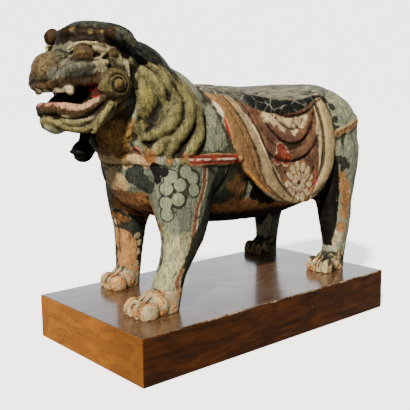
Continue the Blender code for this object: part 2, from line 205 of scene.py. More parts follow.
body = {
    # trunk sections: x, top, bottom, half width
    "trunk": [
        (-172, 204, 170, 20), (-163, 230, 150, 45), (-145, 256, 128, 66), (-112, 276, 110, 78),
        (-70, 283, 99, 83), (-30, 282, 92, 81), (20, 276, 87, 77), (70, 277, 86, 77), (120, 280, 89, 80),
        (165, 285, 98, 85), (205, 287, 116, 88), (234, 279, 138, 83), (254, 260, 160, 69),
        (266, 233, 184, 44),
    ],
    # legs from the ground up: z, x, distance from the middle, half length, half width
    "frontLeft": [
        (-6, -150, 71, 22, 20), (15, -144, 71, 21, 20), (42, -136, 70, 20, 20), (63, -121, 68, 23, 21),
        (88, -110, 67, 31, 23), (115, -106, 63, 40, 26), (150, -104, 57, 48, 31), (190, -98, 48, 52, 36),
    ],
    "frontRight": [
        (-6, -112, 64, 20, 19), (15, -109, 65, 18, 18), (42, -106, 65, 19, 19), (63, -104, 65, 21, 20),
        (88, -103, 64, 25, 21), (115, -102, 61, 34, 25), (150, -100, 56, 44, 30), (190, -96, 48, 50, 36),
    ],
    "rearLeft": [
        (-6, 183, 76, 18, 18), (15, 186, 76, 18, 17), (38, 191, 75, 19, 17), (65, 196, 72, 25, 20),
        (95, 198, 68, 29, 22), (122, 200, 63, 35, 27), (155, 202, 57, 46, 33), (195, 200, 50, 57, 40),
    ],
    "rearRight": [
        (-6, 196, 79, 18, 17), (15, 196, 79, 18, 17), (38, 196, 78, 19, 18), (65, 195, 75, 23, 20),
        (95, 197, 69, 29, 23), (122, 200, 64, 36, 28), (155, 203, 57, 46, 34), (195, 202, 50, 57, 40),
    ],
    # paws: side, middle x, distance from the middle, half length, half width
    "paws": [(-1, -169, 71, 30, 24), (1, -124, 63, 27, 21), (-1, 167, 76, 27, 21), (1, 181, 80, 26, 20)],
    "pawTop": 31,
    "toes": 4,
}


def addTrunk(bm):
    rings = []
    for x, top, bottom, half in body["trunk"]:
        rings.append(ringPoints((x, 0, (top + bottom) / 2), (0, half, 0), (0, 0, (top - bottom) / 2), 2.4,
                                32))
    addLoft(bm, rings)


def addLeg(bm, side, sections, squareness):
    rings = []
    for z, x, out, long, wide in sections:
        rings.append(ringPoints((x, side * out, z), (long, 0, 0), (0, wide, 0), squareness))
    addLoft(bm, rings)


def toesOf(x, out, side, long, wide):
    # middle of each toe and its half width
    toe = wide * 2 / body["toes"]
    spots = []
    for i in range(body["toes"]):
        across = (i - (body["toes"] - 1) / 2) * toe
        shorter = 1 - 0.28 * (across / wide) ** 2
        spots.append((x - long * 0.50 * shorter, side * out + across))
    return spots, toe


def addPaw(bm, side, x, out, long, wide):
    addBall(bm, (x + long * 0.22, side * out, 10), (long * 0.76, wide * 0.92, body["pawTop"] - 11))
    spots, toe = toesOf(x, out, side, long, wide)
    for toeX, toeY in spots:
        addBall(bm, (toeX, toeY, 7), (long * 0.48, toe * 0.60, body["pawTop"] - 17), (0, -6, 0))


def addNeckAndHead(bm):
    addBall(bm, (-108, 0, 238), (76, 78, 76))
    addBall(bm, (-146, 0, 278), (63, 67, 66))
    addBall(bm, (-145, 0, 240), (60, 60, 58))
    addBall(bm, (-186, 0, 308), (54, 59, 52))
    addBall(bm, (-192, 0, 334), (48, 54, 30))
    addBall(bm, (-216, 0, 322), (28, 45, 26))
    addBalls(bm, (-196, -32, 281), (34, 30, 34))
    addBall(bm, (-236, 0, 300), (32, 42, 17))


head = {
    "noseFold": [(-268, -22, 288), (-262, -32, 294), (-256, -38, 300), (-248, -43, 304), (-236, -48, 306),
                 (-223, -52, 307), (-211, -55, 311)],
    "lipEdge": [(-270, 0, 285), (-269, -12, 284), (-265, -24, 285), (-256, -35, 290), (-246, -42, 288),
                (-235, -47, 287), (-223, -53, 293)],
    "teeth": [(-268, 0, 280), (-265, -14, 280), (-259, -28, 280), (-251, -38, 281)],
    "lowerLip": [(-262, 0, 258), (-260, -14, 259), (-253, -29, 258), (-244, -40, 256), (-233, -47, 258),
                 (-221, -53, 266), (-211, -57, 275)],
    "jawFringe": [(-258, 0, 246), (-255, -14, 244), (-248, -28, 239), (-238, -39, 236), (-226, -47, 239),
                  (-215, -55, 250), (-206, -59, 262)],
    "eye": (-231, -38, 321),
    "upperLid": [(-244, -26, 327), (-238, -36, 333), (-225, -46, 333), (-210, -54, 327)],
    "lowerLid": [(-245, -28, 319), (-236, -40, 312), (-222, -49, 314), (-211, -54, 321)],
    "brow": [(-232, 0, 347), (-229, -13, 347), (-220, -28, 346), (-209, -42, 344), (-198, -53, 341)],
    "ear": [(-206, -58, 345), (-196, -61, 343), (-184, -64, 336), (-171, -66, 327)],
    "whorl": (-204, -59, 286),
    "cheekRise": [(-222, -58, 258), (-210, -64, 262), (-196, -66, 268), (-184, -68, 280), (-181, -66, 296),
                  (-184, -64, 310)],
    "cheekTuft": [(-212, -61, 262), (-222, -56, 246), (-228, -49, 231)],
    "bell": (-215, 0, 204),
    "bellSize": 14,
}


def addHeadForms(bm, tree):
    # nose with its wings, then the roll and the lip behind it
    addBall(bm, (-250, 0, 303), (27, 29, 23))
    addBalls(bm, (-256, -14, 298), (17, 15, 16))
    addBalls(bm, (-240, -26, 301), (26, 20, 16), (0, 0, -25))
    addBalls(bm, (-224, -38, 303), (26, 17, 15), (0, 0, -18))
    addRopes(bm, head["noseFold"], [5, 6.5, 7.5, 8, 7.5, 6.5, 4])
    addBalls(bm, (-238, -34, 295), (25, 13, 11), (0, 0, -25))
    addRopes(bm, head["lipEdge"], [5, 5, 5, 5, 5, 5, 4])
    addRopes(bm, head["teeth"], [4, 4, 4])
    addBalls(bm, (-251, -39, 280), (6, 5, 6.5))
    # lower jaw: lip, hair under it, floor of the mouth, tongue and chin
    addRopes(bm, head["lowerLip"], [7, 7, 7.5, 7.5, 7.5, 7, 5])
    addRopes(bm, head["jawFringe"], [8, 8, 8, 8, 8, 7, 5])
    addBalls(bm, (-234, -34, 249), (28, 17, 14), (0, 0, -28))
    addBalls(bm, (-218, -46, 258), (20, 13, 17), (0, 0, -20))
    addBall(bm, (-228, 0, 245), (34, 44, 16))
    addBall(bm, (-243, 0, 260), (22, 22, 7))
    addBall(bm, (-250, 0, 238), (15, 15, 11))
    # eyes, their lids and the knob behind each
    addBalls(bm, head["eye"], (13, 10, 10), (0, 0, -25))
    addRopes(bm, head["upperLid"], [2, 2.4, 2.4, 2])
    addRopes(bm, head["lowerLid"], [1.5, 2, 2, 1.5])
    addBalls(bm, (-200, -54, 321), (7, 4.5, 6))
    addBalls(bm, (-204, -48, 330), (20, 10, 12))
    # brow, the thick edge of the hair over the eyes, and the ears laid back beside it
    addRopes(bm, head["brow"], [8, 8, 8, 8, 7])
    addBall(bm, (-202, 0, 345), (32, 47, 19))
    addBall(bm, (-186, 0, 342), (40, 54, 21))
    addRopes(bm, head["ear"], [8, 9, 8, 4])
    addBall(bm, (-217, 59, 347), (12, 12, 12))
    # whorl of hair on each cheek, the hair rising round it and a tuft below
    addBalls(bm, head["whorl"], (20, 13, 19), (0, 0, -12))
    addBalls(bm, (-205, -68, 286), (6.5, 7, 6.5))
    addRidges(bm, tree, head["cheekRise"], [4, 5, 5, 5, 4, 3], [4, 5, 6, 6, 5, 4])
    addRopes(bm, head["cheekTuft"], [5, 6, 4])
    # bell on its ribbon
    x, y, z = head["bell"]
    size = head["bellSize"]
    addRope(bm, [(-204, 0, 236), (-211, 0, 224), (-214, 0, 212)], [8, 7, 6])
    addBall(bm, (x, y, z), (size, size, size))
    addRope(bm, [(x + size * math.cos(a), size * math.sin(a), z) for a in np.linspace(0, 2 * math.pi, 13)],
            [2.2, 2.2])


mane = {
    # each lock: its path down the neck, and its half widths along the way
    "locks": [
        ([(-136, -56, 306), (-120, -66, 288), (-107, -74, 270), (-106, -80, 254), (-110, -82, 239),
          (-120, -84, 225), (-132, -85, 213), (-140, -85, 202), (-142, -84, 192)],
         [4, 9, 11, 11, 11, 11, 10, 8, 5]),
        ([(-152, -54, 308), (-138, -64, 297), (-128, -72, 282), (-126, -80, 267), (-129, -84, 252),
          (-137, -85, 239), (-149, -84, 230), (-161, -80, 223), (-172, -72, 214)],
         [4, 8, 10, 11, 11, 11, 10, 9, 6]),
        ([(-163, -58, 302), (-150, -66, 290), (-142, -72, 277), (-141, -80, 261), (-147, -82, 249),
          (-157, -80, 240)],
         [6, 8, 9, 9, 8, 5]),
        ([(-128, -84, 224), (-146, -84, 214), (-162, -80, 208), (-176, -70, 202)], [6, 9, 9, 6]),
        ([(-112, -52, 296), (-96, -70, 270), (-90, -78, 246), (-93, -82, 224), (-104, -84, 206),
          (-114, -84, 197)],
         [3, 9, 10, 10, 9, 6]),
    ],
    # hair behind the cheek, a low field with its own front edge
    "field": [(-164, -62, 300), (-161, -70, 278), (-161, -74, 258), (-166, -74, 240), (-174, -70, 224)],
    "frontEdge": [(-182, -64, 300), (-172, -70, 272), (-175, -72, 252), (-186, -70, 234), (-194, -66, 214)],
    # hair between the locks' ends: x, y, z, radius
    "ends": [(-156, -72, 212, 19), (-170, -66, 214, 13), (-136, -82, 206, 14)],
}


def addMane(bm, tree):
    for points, widths in mane["locks"]:
        addRidges(bm, tree, points, [w * 1.06 for w in widths], [w * 0.84 for w in widths])
    addRidges(bm, tree, mane["field"], [10, 13, 14, 13, 9], [3, 4, 5, 4, 3])
    addRidges(bm, tree, mane["frontEdge"], [4, 4, 4, 4, 3], [2.5, 3, 3, 3, 2.5])


cloth = {
    "thick": 11,
    # left half of the sheet, from the hem over the back: y, z, front x, rear x
    "path": [
        (-84, 115, 76, 112), (-85, 121, 50, 132), (-85, 131, 30, 148), (-86, 146, 8, 159),
        (-86, 168, -14, 166), (-85, 192, -28, 169), (-82, 214, -37, 169), (-77, 234, -44, 166),
        (-69, 252, -48, 162), (-56, 267, -50, 157), (-38, 277, -51, 154), (-19, 281, -51, 153),
        (0, 282, -51, 152),
    ],
    "rearFold": [(152, -48, 276), (156, -66, 262), (160, -78, 242), (160, -85, 214), (158, -88, 187),
                 (151, -90, 161), (136, -90, 142), (114, -90, 127)],
    "innerFold": [(138, -66, 262), (137, -80, 240), (138, -86, 214), (137, -88, 190), (132, -90, 166)],
    "frontFold": [(-44, -42, 281), (-26, -60, 270), (-14, -72, 255), (-2, -80, 230), (11, -86, 204),
                  (21, -89, 178), (30, -90, 156), (48, -90, 134), (73, -90, 121)],
    "swag": [(18, -66, 254), (30, -70, 242), (45, -78, 227), (62, -84, 215), (80, -86, 210), (102, -82, 220),
             (120, -76, 239), (132, -68, 254)],
    "lowSwag": [(6, -74, 244), (14, -82, 216), (33, -87, 196), (66, -89, 185), (102, -88, 192),
                (124, -84, 211), (135, -76, 238)],
    # saddle pad: x, top, lower edge, half width
    "pad": [(18, 276, 269, 40), (32, 278, 264, 60), (50, 282, 254, 73), (72, 285, 245, 80),
            (100, 286, 244, 81), (128, 287, 251, 78), (152, 287, 260, 70), (180, 288, 266, 58),
            (208, 288, 270, 45), (232, 282, 271, 26)],
    "breastBand": [(-22, -84, 187), (-60, -87, 189), (-100, -83, 191), (-135, -72, 193), (-160, -48, 195),
                   (-172, 0, 196), (-160, 48, 195), (-135, 72, 193), (-100, 83, 191), (-60, 87, 189),
                   (-22, 84, 187)],
    "crupper": [(160, -85, 207), (205, -84, 219), (240, -70, 230), (262, -38, 238), (268, 0, 241),
                (262, 38, 238), (240, 70, 230), (205, 84, 219), (160, 85, 207)],
    "tail": [(250, 0, 268), (266, 0, 246), (270, 0, 222), (268, 0, 200), (262, 0, 178)],
    "dip": ([-50, -20, 30, 90, 155], [1, 1, -3, -2, 3]),  # how the sheet follows the back: x, rise
}


def addCloth(bm):
    half = cloth["path"]
    path = half + [(-y, z, front, rear) for y, z, front, rear in half[-2::-1]]
    rings = []
    for i, (y, z, front, rear) in enumerate(path):
        before, after = path[max(i - 1, 0)], path[min(i + 1, len(path) - 1)]
        along = Vector((0, after[0] - before[0], after[1] - before[1])).normalized()
        out = Vector((0, -along.z, along.y))
        middle = Vector(((front + rear) / 2, y, z)) - out * 0.5
        ring = ringPoints(middle, ((rear - front) / 2, 0, 0), out * cloth["thick"] / 2, 5.0, 40)
        for point in ring:
            share = min(max((z - 235) / 45, 0), 1)
            point.z += share * float(np.interp(point.x, *cloth["dip"]))
        rings.append(ring)
    addLoft(bm, rings)


def addPad(bm):
    rings = []
    for x, top, low, half in cloth["pad"]:
        rings.append(ringPoints((x, 0, low), (0, half, 0), (0, 0, top - low), 2.3, 32))
    addLoft(bm, rings)


def addHarness(bm, tree):
    addRidges(bm, tree, cloth["rearFold"], [7, 11, 13, 13, 13, 12, 9, 5], [3, 4, 5, 5, 5, 4.5, 4, 2])
    addRidges(bm, tree, cloth["innerFold"], [2, 4, 4, 4, 2], [1, 1.6, 2, 1.6, 1])
    addRidges(bm, tree, cloth["frontFold"], [4, 6, 8, 9, 9, 9, 9, 7, 4], [1.5, 2, 2.6, 3, 3, 3, 3, 2.4, 1.5])
    addRidges(bm, tree, cloth["swag"], [4, 7, 9, 10, 10, 9, 7, 4], [1.5, 2, 2.8, 3, 3, 2.8, 2, 1.5])
    addRidges(bm, tree, cloth["lowSwag"], [3, 5, 8, 8, 8, 6, 3], [1, 1.6, 2.2, 2.4, 2.2, 1.8, 1])
    addRidge(bm, tree, cloth["breastBand"], [8, 8], [3.2, 3.2])
    addRidge(bm, tree, cloth["crupper"], [7, 7], [2.8, 2.8])
    addRidge(bm, tree, cloth["tail"], [6, 8, 8, 12, 7], [7, 9, 9, 11, 6])


def meshOf(bm, name):
    bmesh.ops.recalc_face_normals(bm, faces=bm.faces)
    mesh = bpy.data.meshes.new(name)
    bm.to_mesh(mesh)
    bm.free()
    return mesh


def standIn(mesh):
    obj = bpy.data.objects.new("working", mesh)
    bpy.context.scene.collection.objects.link(obj)
    return obj


def evaluated(obj):
    graph = bpy.context.evaluated_depsgraph_get()
    mesh = bpy.data.meshes.new_from_object(obj.evaluated_get(graph))
    bpy.data.objects.remove(obj)
    return mesh


def fused(mesh, grain, rounds):
    # all the closed shapes in the mesh become one skin, which is then smoothed
    obj = standIn(mesh)
    remesh = obj.modifiers.new("Remesh", "REMESH")
    remesh.mode = "VOXEL"
    remesh.voxel_size = grain
    smooth = obj.modifiers.new("Smooth", "SMOOTH")
    smooth.factor = 0.5
    smooth.iterations = rounds
    return evaluated(obj)


def cutMouth(mesh):
    bm = bmesh.new()
    addBall(bm, (-246, 0, 270), (40, 46, 10))
    obj, cutter = standIn(mesh), standIn(meshOf(bm, "mouth"))
    boolean = obj.modifiers.new("Cut", "BOOLEAN")
    boolean.operation = "DIFFERENCE"
    boolean.solver = "EXACT"
    boolean.object = cutter
    made = evaluated(obj)
    bpy.data.objects.remove(cutter)
    return made


def treeOf(mesh):
    bm = bmesh.new()
    bm.from_mesh(mesh)
    tree = BVHTree.FromBMesh(bm)
    bm.free()
    return tree


def shapedLion():
    bm = bmesh.new()
    addTrunk(bm)
    addLeg(bm, -1, body["frontLeft"], 2.2)
    addLeg(bm, 1, body["frontRight"], 2.2)
    addLeg(bm, -1, body["rearLeft"], 2.7)
    addLeg(bm, 1, body["rearRight"], 2.7)
    addNeckAndHead(bm)
    rough = cutMouth(fused(meshOf(bm, "blocks"), figure["roughGrain"], 10))
    bodyTree = treeOf(rough)
    tell("blocked out")
    bm = bmesh.new()
    addCloth(bm)
    addPad(bm)
    bm.from_mesh(rough)
    clothed = fused(meshOf(bm, "clothed"), figure["clothGrain"], 2)
    clothTree = treeOf(clothed)
    tell("clothed")
    bm = bmesh.new()
    for paw in body["paws"]:
        addPaw(bm, *paw)
    addHeadForms(bm, bodyTree)
    addMane(bm, bodyTree)
    addHarness(bm, clothTree)
    bm.from_mesh(clothed)
    tell("forms laid on")
    return fused(meshOf(bm, "carved"), figure["fineGrain"], 2)


# the knife: cuts laid along paths on the fused skin, in millimetres
cuts = {
    # path, half width, depth; each is cut on both sides of the lion
    "nostril": ([(-262, -17, 318), (-259, -25, 311), (-259, -28, 302), (-264, -29, 294), (-270, -22, 290),
                 (-274, -10, 291)], 2.6, 1.8),
    "nostrilHole": ([(-273, -14, 296), (-270, -20, 298)], 3.0, 2.0),
    "nosePhiltrum": ([(-277, 0, 300), (-277, 0, 292)], 2.4, 1.6),
    "overRoll": ([(-264, -27, 303), (-257, -36, 308), (-248, -43, 312), (-237, -48, 314), (-224, -54, 314)],
                 3.4, 1.6),
    "lipWave": ([(-262, -34, 285), (-256, -39, 288), (-249, -43, 285), (-240, -47, 283), (-230, -51, 287)],
                1.6, 1.0),
    "jawLine": ([(-266, 0, 250), (-264, -16, 249), (-257, -30, 247), (-246, -42, 246), (-232, -50, 250),
                 (-221, -56, 260), (-212, -60, 268)], 2.4, 3.0),
    "jawStrokeA": ([(-258, -26, 240), (-246, -39, 237), (-233, -47, 241), (-221, -55, 253)], 1.6, 1.8),
    "jawStrokeB": ([(-250, -30, 232), (-238, -41, 230), (-226, -49, 236), (-214, -56, 249)], 1.6, 1.8),
    "tuftSide": ([(-206, -62, 262), (-213, -60, 247), (-221, -54, 234)], 2.2, 2.6),
    "eyeRim": ([(-246, -30, 326), (-245, -36, 316), (-236, -44, 310), (-225, -50, 312), (-217, -54, 319)],
               1.8, 2.2),
    "eyeStrokeA": ([(-243, -36, 325), (-235, -45, 327), (-226, -50, 325)], 1.5, 1.4),
    "eyeStrokeB": ([(-244, -38, 318), (-236, -47, 319), (-226, -51, 318)], 1.5, 1.2),
    "eyeTail": ([(-228, -50, 331), (-219, -54, 330), (-208, -57, 326)], 2.0, 2.6),
    "browUnder": ([(-236, -20, 336), (-228, -36, 335), (-216, -48, 334), (-204, -56, 331), (-192, -58, 328)],
                  2.8, 3.0),
    "browCurlA": ([(-236, -14, 352), (-231, -24, 347), (-228, -22, 341), (-233, -14, 341)], 1.6, 1.1),
    "browCurlB": ([(-224, -32, 352), (-219, -40, 346), (-216, -37, 340), (-222, -29, 341)], 1.6, 1.1),
    "browCurlC": ([(-210, -46, 350), (-206, -52, 344), (-203, -50, 338), (-209, -44, 339)], 1.6, 1.1),
    "browTop": ([(-238, 0, 356), (-232, -18, 356), (-222, -33, 355), (-212, -44, 353)], 2.0, 1.6),
    "earFront": ([(-216, -52, 356), (-207, -62, 350), (-196, -64, 341), (-184, -64, 332)], 2.2, 2.4),
    "underEar": ([(-198, -60, 330), (-186, -60, 326), (-172, -62, 322), (-160, -58, 320)], 4.0, 4.5),
    "behindCheek": ([(-181, -60, 312), (-176, -66, 300), (-176, -68, 284), (-180, -66, 268)], 2.4, 2.6),
    "napeA": ([(-196, -20, 364), (-172, -28, 352), (-148, -36, 332), (-128, -44, 308), (-110, -48, 292)],
              2.0, 1.8),
    "napeB": ([(-196, -8, 366), (-168, -12, 354), (-142, -18, 334), (-120, -24, 310), (-98, -26, 292)], 2.0,
              1.8),
    "napeC": ([(-186, -36, 352), (-164, -44, 338), (-144, -52, 318)], 2.0, 1.8),
    "bellSlit": ([(-224, -10, 199), (-229, 0, 199), (-224, 10, 199)], 1.6, 2.4),
    "bandTop": ([(-22, -88, 191.5), (-60, -90, 193.5), (-100, -88, 195.5), (-135, -76, 197)], 1.3, 1.1),
    "bandLow": ([(-22, -88, 183), (-60, -90, 184.5), (-100, -88, 186.5), (-135, -76, 188.5)], 1.3, 1.1),
    "crupperLine": ([(176, -88, 212), (205, -87, 219), (240, -72, 230), (262, -40, 238)], 1.4, 1.0),
    "borderLine": ([(-45, -62, 268), (-36, -70, 258), (-27, -78, 240), (-17, -83, 216), (-6, -88, 192),
                    (2, -89, 172), (18, -90, 146), (40, -90, 130), (62, -90, 121)], 1.4, 1.0),
    "foldSide": ([(-10, -72, 258), (2, -82, 238), (14, -88, 214), (24, -91, 190), (36, -92, 168),
                  (56, -92, 142), (80, -92, 122)], 2.2, 2.0),
    "rollGroove": ([(146, -62, 268), (145, -76, 250), (146, -84, 224), (145, -88, 196), (141, -91, 170),
                    (128, -92, 148)], 2.4, 2.8),
    "swagUnder": ([(22, -72, 238), (38, -80, 222), (58, -86, 207), (80, -89, 202), (104, -86, 210),
                   (124, -80, 230)], 2.6, 2.2),
    "lowSwagUnder": ([(14, -84, 204), (34, -90, 188), (66, -92, 177), (102, -91, 183), (126, -87, 202)], 2.4,
                     2.0),
    "petalFoldA": ([(56, -92, 168), (70, -92, 150), (90, -92, 138)], 2.0, 1.2),
    "petalFoldB": ([(124, -92, 172), (114, -92, 152), (100, -92, 140)], 2.0, 1.2),
    "padEdge": ([(22, -62, 266), (38, -66, 256), (62, -76, 244), (92, -80, 241), (122, -78, 248),
                 (150, -70, 261), (176, -62, 268)], 2.0, 2.2),
    "shinEdge": ([(-166, -62, 44), (-156, -58, 66), (-150, -58, 88), (-152, -66, 112)], 4.0, 2.0),
    "elbow": ([(-42, -80, 176), (-46, -80, 160), (-58, -78, 146), (-72, -80, 136)], 3.4, 2.2),
    "thigh": ([(168, -88, 190), (172, -88, 160), (168, -84, 132), (160, -72, 116)], 3.4, 2.4),
    "haunch": ([(210, -84, 232), (196, -88, 208), (192, -90, 180)], 6.0, 1.6),
}


# places where the fused shapes are worked into one smooth form: x, y, z, reach
worked = [(-258, -36, 295, 19), (-246, -44, 295, 20), (-234, -49, 297, 19), (-221, -55, 301, 14),
          (-162, -72, 270, 20), (-160, -74, 246, 20), (-168, -72, 228, 16), (-244, -42, 244, 15),
          (-228, -50, 246, 14)]


class Skin:
    # the figure's points, read from its mesh and written back
    def __init__(self, mesh):
        self.mesh = mesh
        count = len(mesh.vertices)
        self.spots = np.empty(count * 3)
        mesh.vertices.foreach_get("co", self.spots)
        self.spots = self.spots.reshape(-1, 3)
        self.out = np.empty(count * 3)
        mesh.vertices.foreach_get("normal", self.out)
        self.out = self.out.reshape(-1, 3)
        edges = np.empty(len(mesh.edges) * 2, np.int64)
        mesh.edges.foreach_get("vertices", edges)
        self.edges = edges.reshape(-1, 2)

    def write(self):
        self.mesh.vertices.foreach_set("co", self.spots.ravel())
        self.mesh.update()

    def eased(self, rounds):
        # the points after repeated averaging with their neighbours
        a, b = self.edges.T
        count = len(self.spots)
        share = np.bincount(a, minlength=count) + np.bincount(b, minlength=count)
        share = np.maximum(share, 1)[:, None]
        spots = self.spots.copy()
        for step in range(rounds):
            total = np.empty_like(spots)
            for axis in range(3):
                near = np.bincount(a, spots[b, axis], count) + np.bincount(b, spots[a, axis], count)
                total[:, axis] = near
            spots = total / share
        return spots


def alongPath(spots, path, reach):
    # for the points within reach of a path: which they are, how far off, and the share of the way along
    path = np.array([tuple(p) for p in path])
    near = np.flatnonzero(((spots > path.min(0) - reach) & (spots < path.max(0) + reach)).all(axis=1))
    close = spots[near]
    steps = np.linalg.norm(np.diff(path, axis=0), axis=1)
    gone = np.concatenate([[0], np.cumsum(steps)])
    gap = np.full(len(near), float(reach))
    share = np.zeros(len(near))
    for i, (a, b) in enumerate(zip(path, path[1:])):
        span = b - a
        t = np.clip(((close - a) @ span) / max(span @ span, 1e-9), 0, 1)
        off = np.linalg.norm(close - a - t[:, None] * span, axis=1)
        nearer = off < gap
        gap[nearer] = off[nearer]
        share[nearer] = (gone[i] + t[nearer] * steps[i]) / gone[-1]
    return near, gap, share


def carve(skin, tree, points, width, depth):
    path, ups = onSurface(tree, points, 4)
    near, gap, share = alongPath(skin.spots, path, width * 3)
    taper = np.clip(np.minimum(share, 1 - share) * 6, 0.15, 1)
    cut = depth * taper * np.exp(-(gap / width) ** 2)
    skin.spots[near] -= skin.out[near] * cut[:, None]


def carveStrands(skin, tree, points, widths, lanes, depth):
    # grooves that run with a lock of hair, side by side
    spots, ups = onSurface(tree, points, 5)
    sizes = spread(widths, len(spots))
    count = len(spots)
    for lane in lanes:
        line = []
        for i in range(count):
            along = (spots[min(i + 1, count - 1)] - spots[max(i - 1, 0)]).normalized()
            aside = along.cross(ups[i]).normalized()
            lift = math.sqrt(max(1 - lane * lane, 0)) * 0.9
            line.append(spots[i] + aside * sizes[i] * lane + ups[i] * sizes[i] * lift)
        near, gap, share = alongPath(skin.spots, line, 6)
        taper = np.clip(np.minimum(share, 1 - share) * 6, 0.1, 1)
        cut = depth * taper * np.exp(-(gap / 1.7) ** 2)
        skin.spots[near] -= skin.out[near] * cut[:, None]


def waves(spots, length, seed, count=14):
    # smooth unevenness from crossing waves, about -1 to 1
    dice = np.random.default_rng(seed)
    total = np.zeros(len(spots))
    for i in range(count):
        way = dice.normal(size=3)
        way *= 2 * math.pi / (length * dice.uniform(0.7, 1.5)) / np.linalg.norm(way)
        total += np.sin(spots @ way + dice.uniform(0, 2 * math.pi))
    return total / math.sqrt(count / 2) / 1.6


def carveWhorl(skin, tree):
    x, y, z = head["whorl"]
    for side in (-1, 1):
        spiral = []
        for step in range(20):
            turn = math.radians(215 - step * 36)
            reach = 15.0 - step * 0.56
            spiral.append((x + reach * math.cos(turn), side * (-y + 12), z + reach * math.sin(turn)))
        carve(skin, tree, spiral, 1.8, 2.8)


def carvePaws(skin, tree):
    for side, x, out, long, wide in body["paws"]:
        spots, toe = toesOf(x, out, side, long, wide)
        for spot, following in zip(spots, spots[1:]):
            between = (spot[1] + following[1]) / 2
            path = [(x - long * 0.98, between, 4), (x - long * 0.86, between, 16),
                    (x - long * 0.4, between, 27),
                    (x + long * 0.02, between, 33)]
            carve(skin, tree, path, 1.9, 2.6)
        for toeX, toeY in spots:
            tip = toeX - long * 0.42
            carve(skin, tree, [(tip, toeY - toe * 0.3, 3), (tip, toeY - toe * 0.22, 9), (tip + 4, toeY, 12),
                               (tip, toeY + toe * 0.22, 9), (tip, toeY + toe * 0.3, 3)], 1.3, 1.2)


def workSmooth(skin):
    spots = skin.spots.copy()
    spots[:, 1] = -np.abs(spots[:, 1])
    share = np.max([r - np.linalg.norm(spots - (x, y, z), axis=1) for x, y, z, r in worked], axis=0)
    share = np.clip(share / 7, 0, 1)[:, None] * 0.9
    skin.spots += (skin.eased(40) - skin.spots) * share


def carveFigure(mesh):
    skin = Skin(mesh)
    workSmooth(skin)
    tree = treeOf(mesh)
    for points, width, depth in cuts.values():
        carve(skin, tree, points, width, depth)
        carve(skin, tree, mirrored(points), width, depth)
    for points, widths in mane["locks"]:
        for path in (points, mirrored(points)):
            carveStrands(skin, tree, path, widths, (-0.5, 0.5), 0.6)
    for path in (mane["field"], mirrored(mane["field"])):
        carveStrands(skin, tree, path, [10, 13, 14, 13, 9], (-0.6, 0, 0.6), 0.8)
    carveWhorl(skin, tree)
    carvePaws(skin, tree)
    # the hand-cut surface is never quite even: how deep its waves are and how long, in millimetres
    uneven = np.zeros(len(skin.spots))
    for i, (deep, long) in enumerate(((0.40, 34), (0.16, 11), (0.12, 5))):
        uneven += deep * waves(skin.spots, long, figure["seed"] + i)
    skin.spots += skin.out * uneven[:, None]
    # the carving stays within the block that it was cut from
    blockTop = (boxAtStart[1][2] - figure["place"][2]) * figure["drawn"] / figure["height"]
    skin.spots[:, 2] = np.minimum(skin.spots[:, 2], blockTop - 0.1)
    skin.write()
    return mesh


def reduced(mesh, triangles):
    obj = standIn(mesh)
    count = sum(len(face.vertices) - 2 for face in mesh.polygons)
    decimate = obj.modifiers.new("Decimate", "DECIMATE")
    decimate.ratio = min(triangles / count, 1)
    decimate.use_collapse_triangulate = True
    return evaluated(obj)


def flatSoles(mesh):
    bm = bmesh.new()
    bm.from_mesh(mesh)
    everything = [*bm.verts, *bm.edges, *bm.faces]
    bmesh.ops.bisect_plane(bm, geom=everything, dist=0.01, plane_co=(0, 0, 0), plane_no=(0, 0, -1),
                           clear_outer=True)
    bmesh.ops.holes_fill(bm, edges=[edge for edge in bm.edges if edge.is_boundary], sides=0)
    bmesh.ops.triangulate(bm, faces=bm.faces)
    bmesh.ops.recalc_face_normals(bm, faces=bm.faces)
    bm.to_mesh(mesh)
    bm.free()
    return mesh


# where each paint lies, as distances in millimetres from its edge, more than 0 inside it
lines = {
    # z of a line against its x
    "cloth": {
        "side": ([115, 146, 168, 192, 214, 234, 252, 267, 282], [84, 86, 86, 85, 82, 77, 69, 56, 20]),
        "front": ([113, 117, 119, 129, 141, 154, 167, 182, 197, 215, 230, 245, 254, 264, 278],
                  [96, 75, 61, 39, 17, 1, -13, -25, -33, -38, -42, -45, -49, -52, -51]),
        "rear": ([113, 118, 123, 132, 152, 172, 194, 216, 237, 258, 280],
                 [100, 120, 140, 158, 169, 174, 176, 175, 174, 170, 160]),
        "fold": ([119, 121, 136, 149, 168, 188, 211, 235, 246, 263, 282],
                 [72, 59, 37, 21, 9, 5, -5, -14, -20, -28, -38]),
        "second": ([119, 125, 143, 165, 178, 199, 219, 238, 256, 282],
                   [90, 77, 59, 44, 33, 18, 8, -4, -14, -24]),
        "roll": ([115, 140, 154, 175, 218, 238, 259, 282], [112, 126, 132, 134, 132, 136, 140, 146]),
    },
    "stripe": ([40, 54, 62, 76, 96, 113, 131, 142, 159, 177],
               [-142, -133, -124, -118, -113, -110, -106, -99, -91, -89]),
    "legDark": ([25, 48, 71, 94, 117, 143, 176], [-136, -129, -121, -111, -93, -80, -62]),
    # front edge of the black on the rear thighs: dark paint and painted shade together
    "thighBlackAndShade": ([30, 39, 58, 78, 105, 136, 167, 190], [172, 174, 176, 180, 184, 184, 181, 172]),
    "backDark": ([-70, -50, -24, -3, 14, 29, 61, 89, 115, 134, 150, 180, 240],
                 [281, 276, 269, 263, 253, 248, 244, 246, 253, 262, 266, 272, 290]),
    "backTop": ([-70, -20, 41, 53, 78, 111, 140, 240], [290, 280, 270, 266, 264, 265, 270, 276]),
    "band": ([-172, -160, -135, -100, -60, -22], [196, 195, 193, 191, 189, 187]),
    "crupper": ([160, 205, 240, 262, 268], [207, 219, 230, 238, 241]),
}

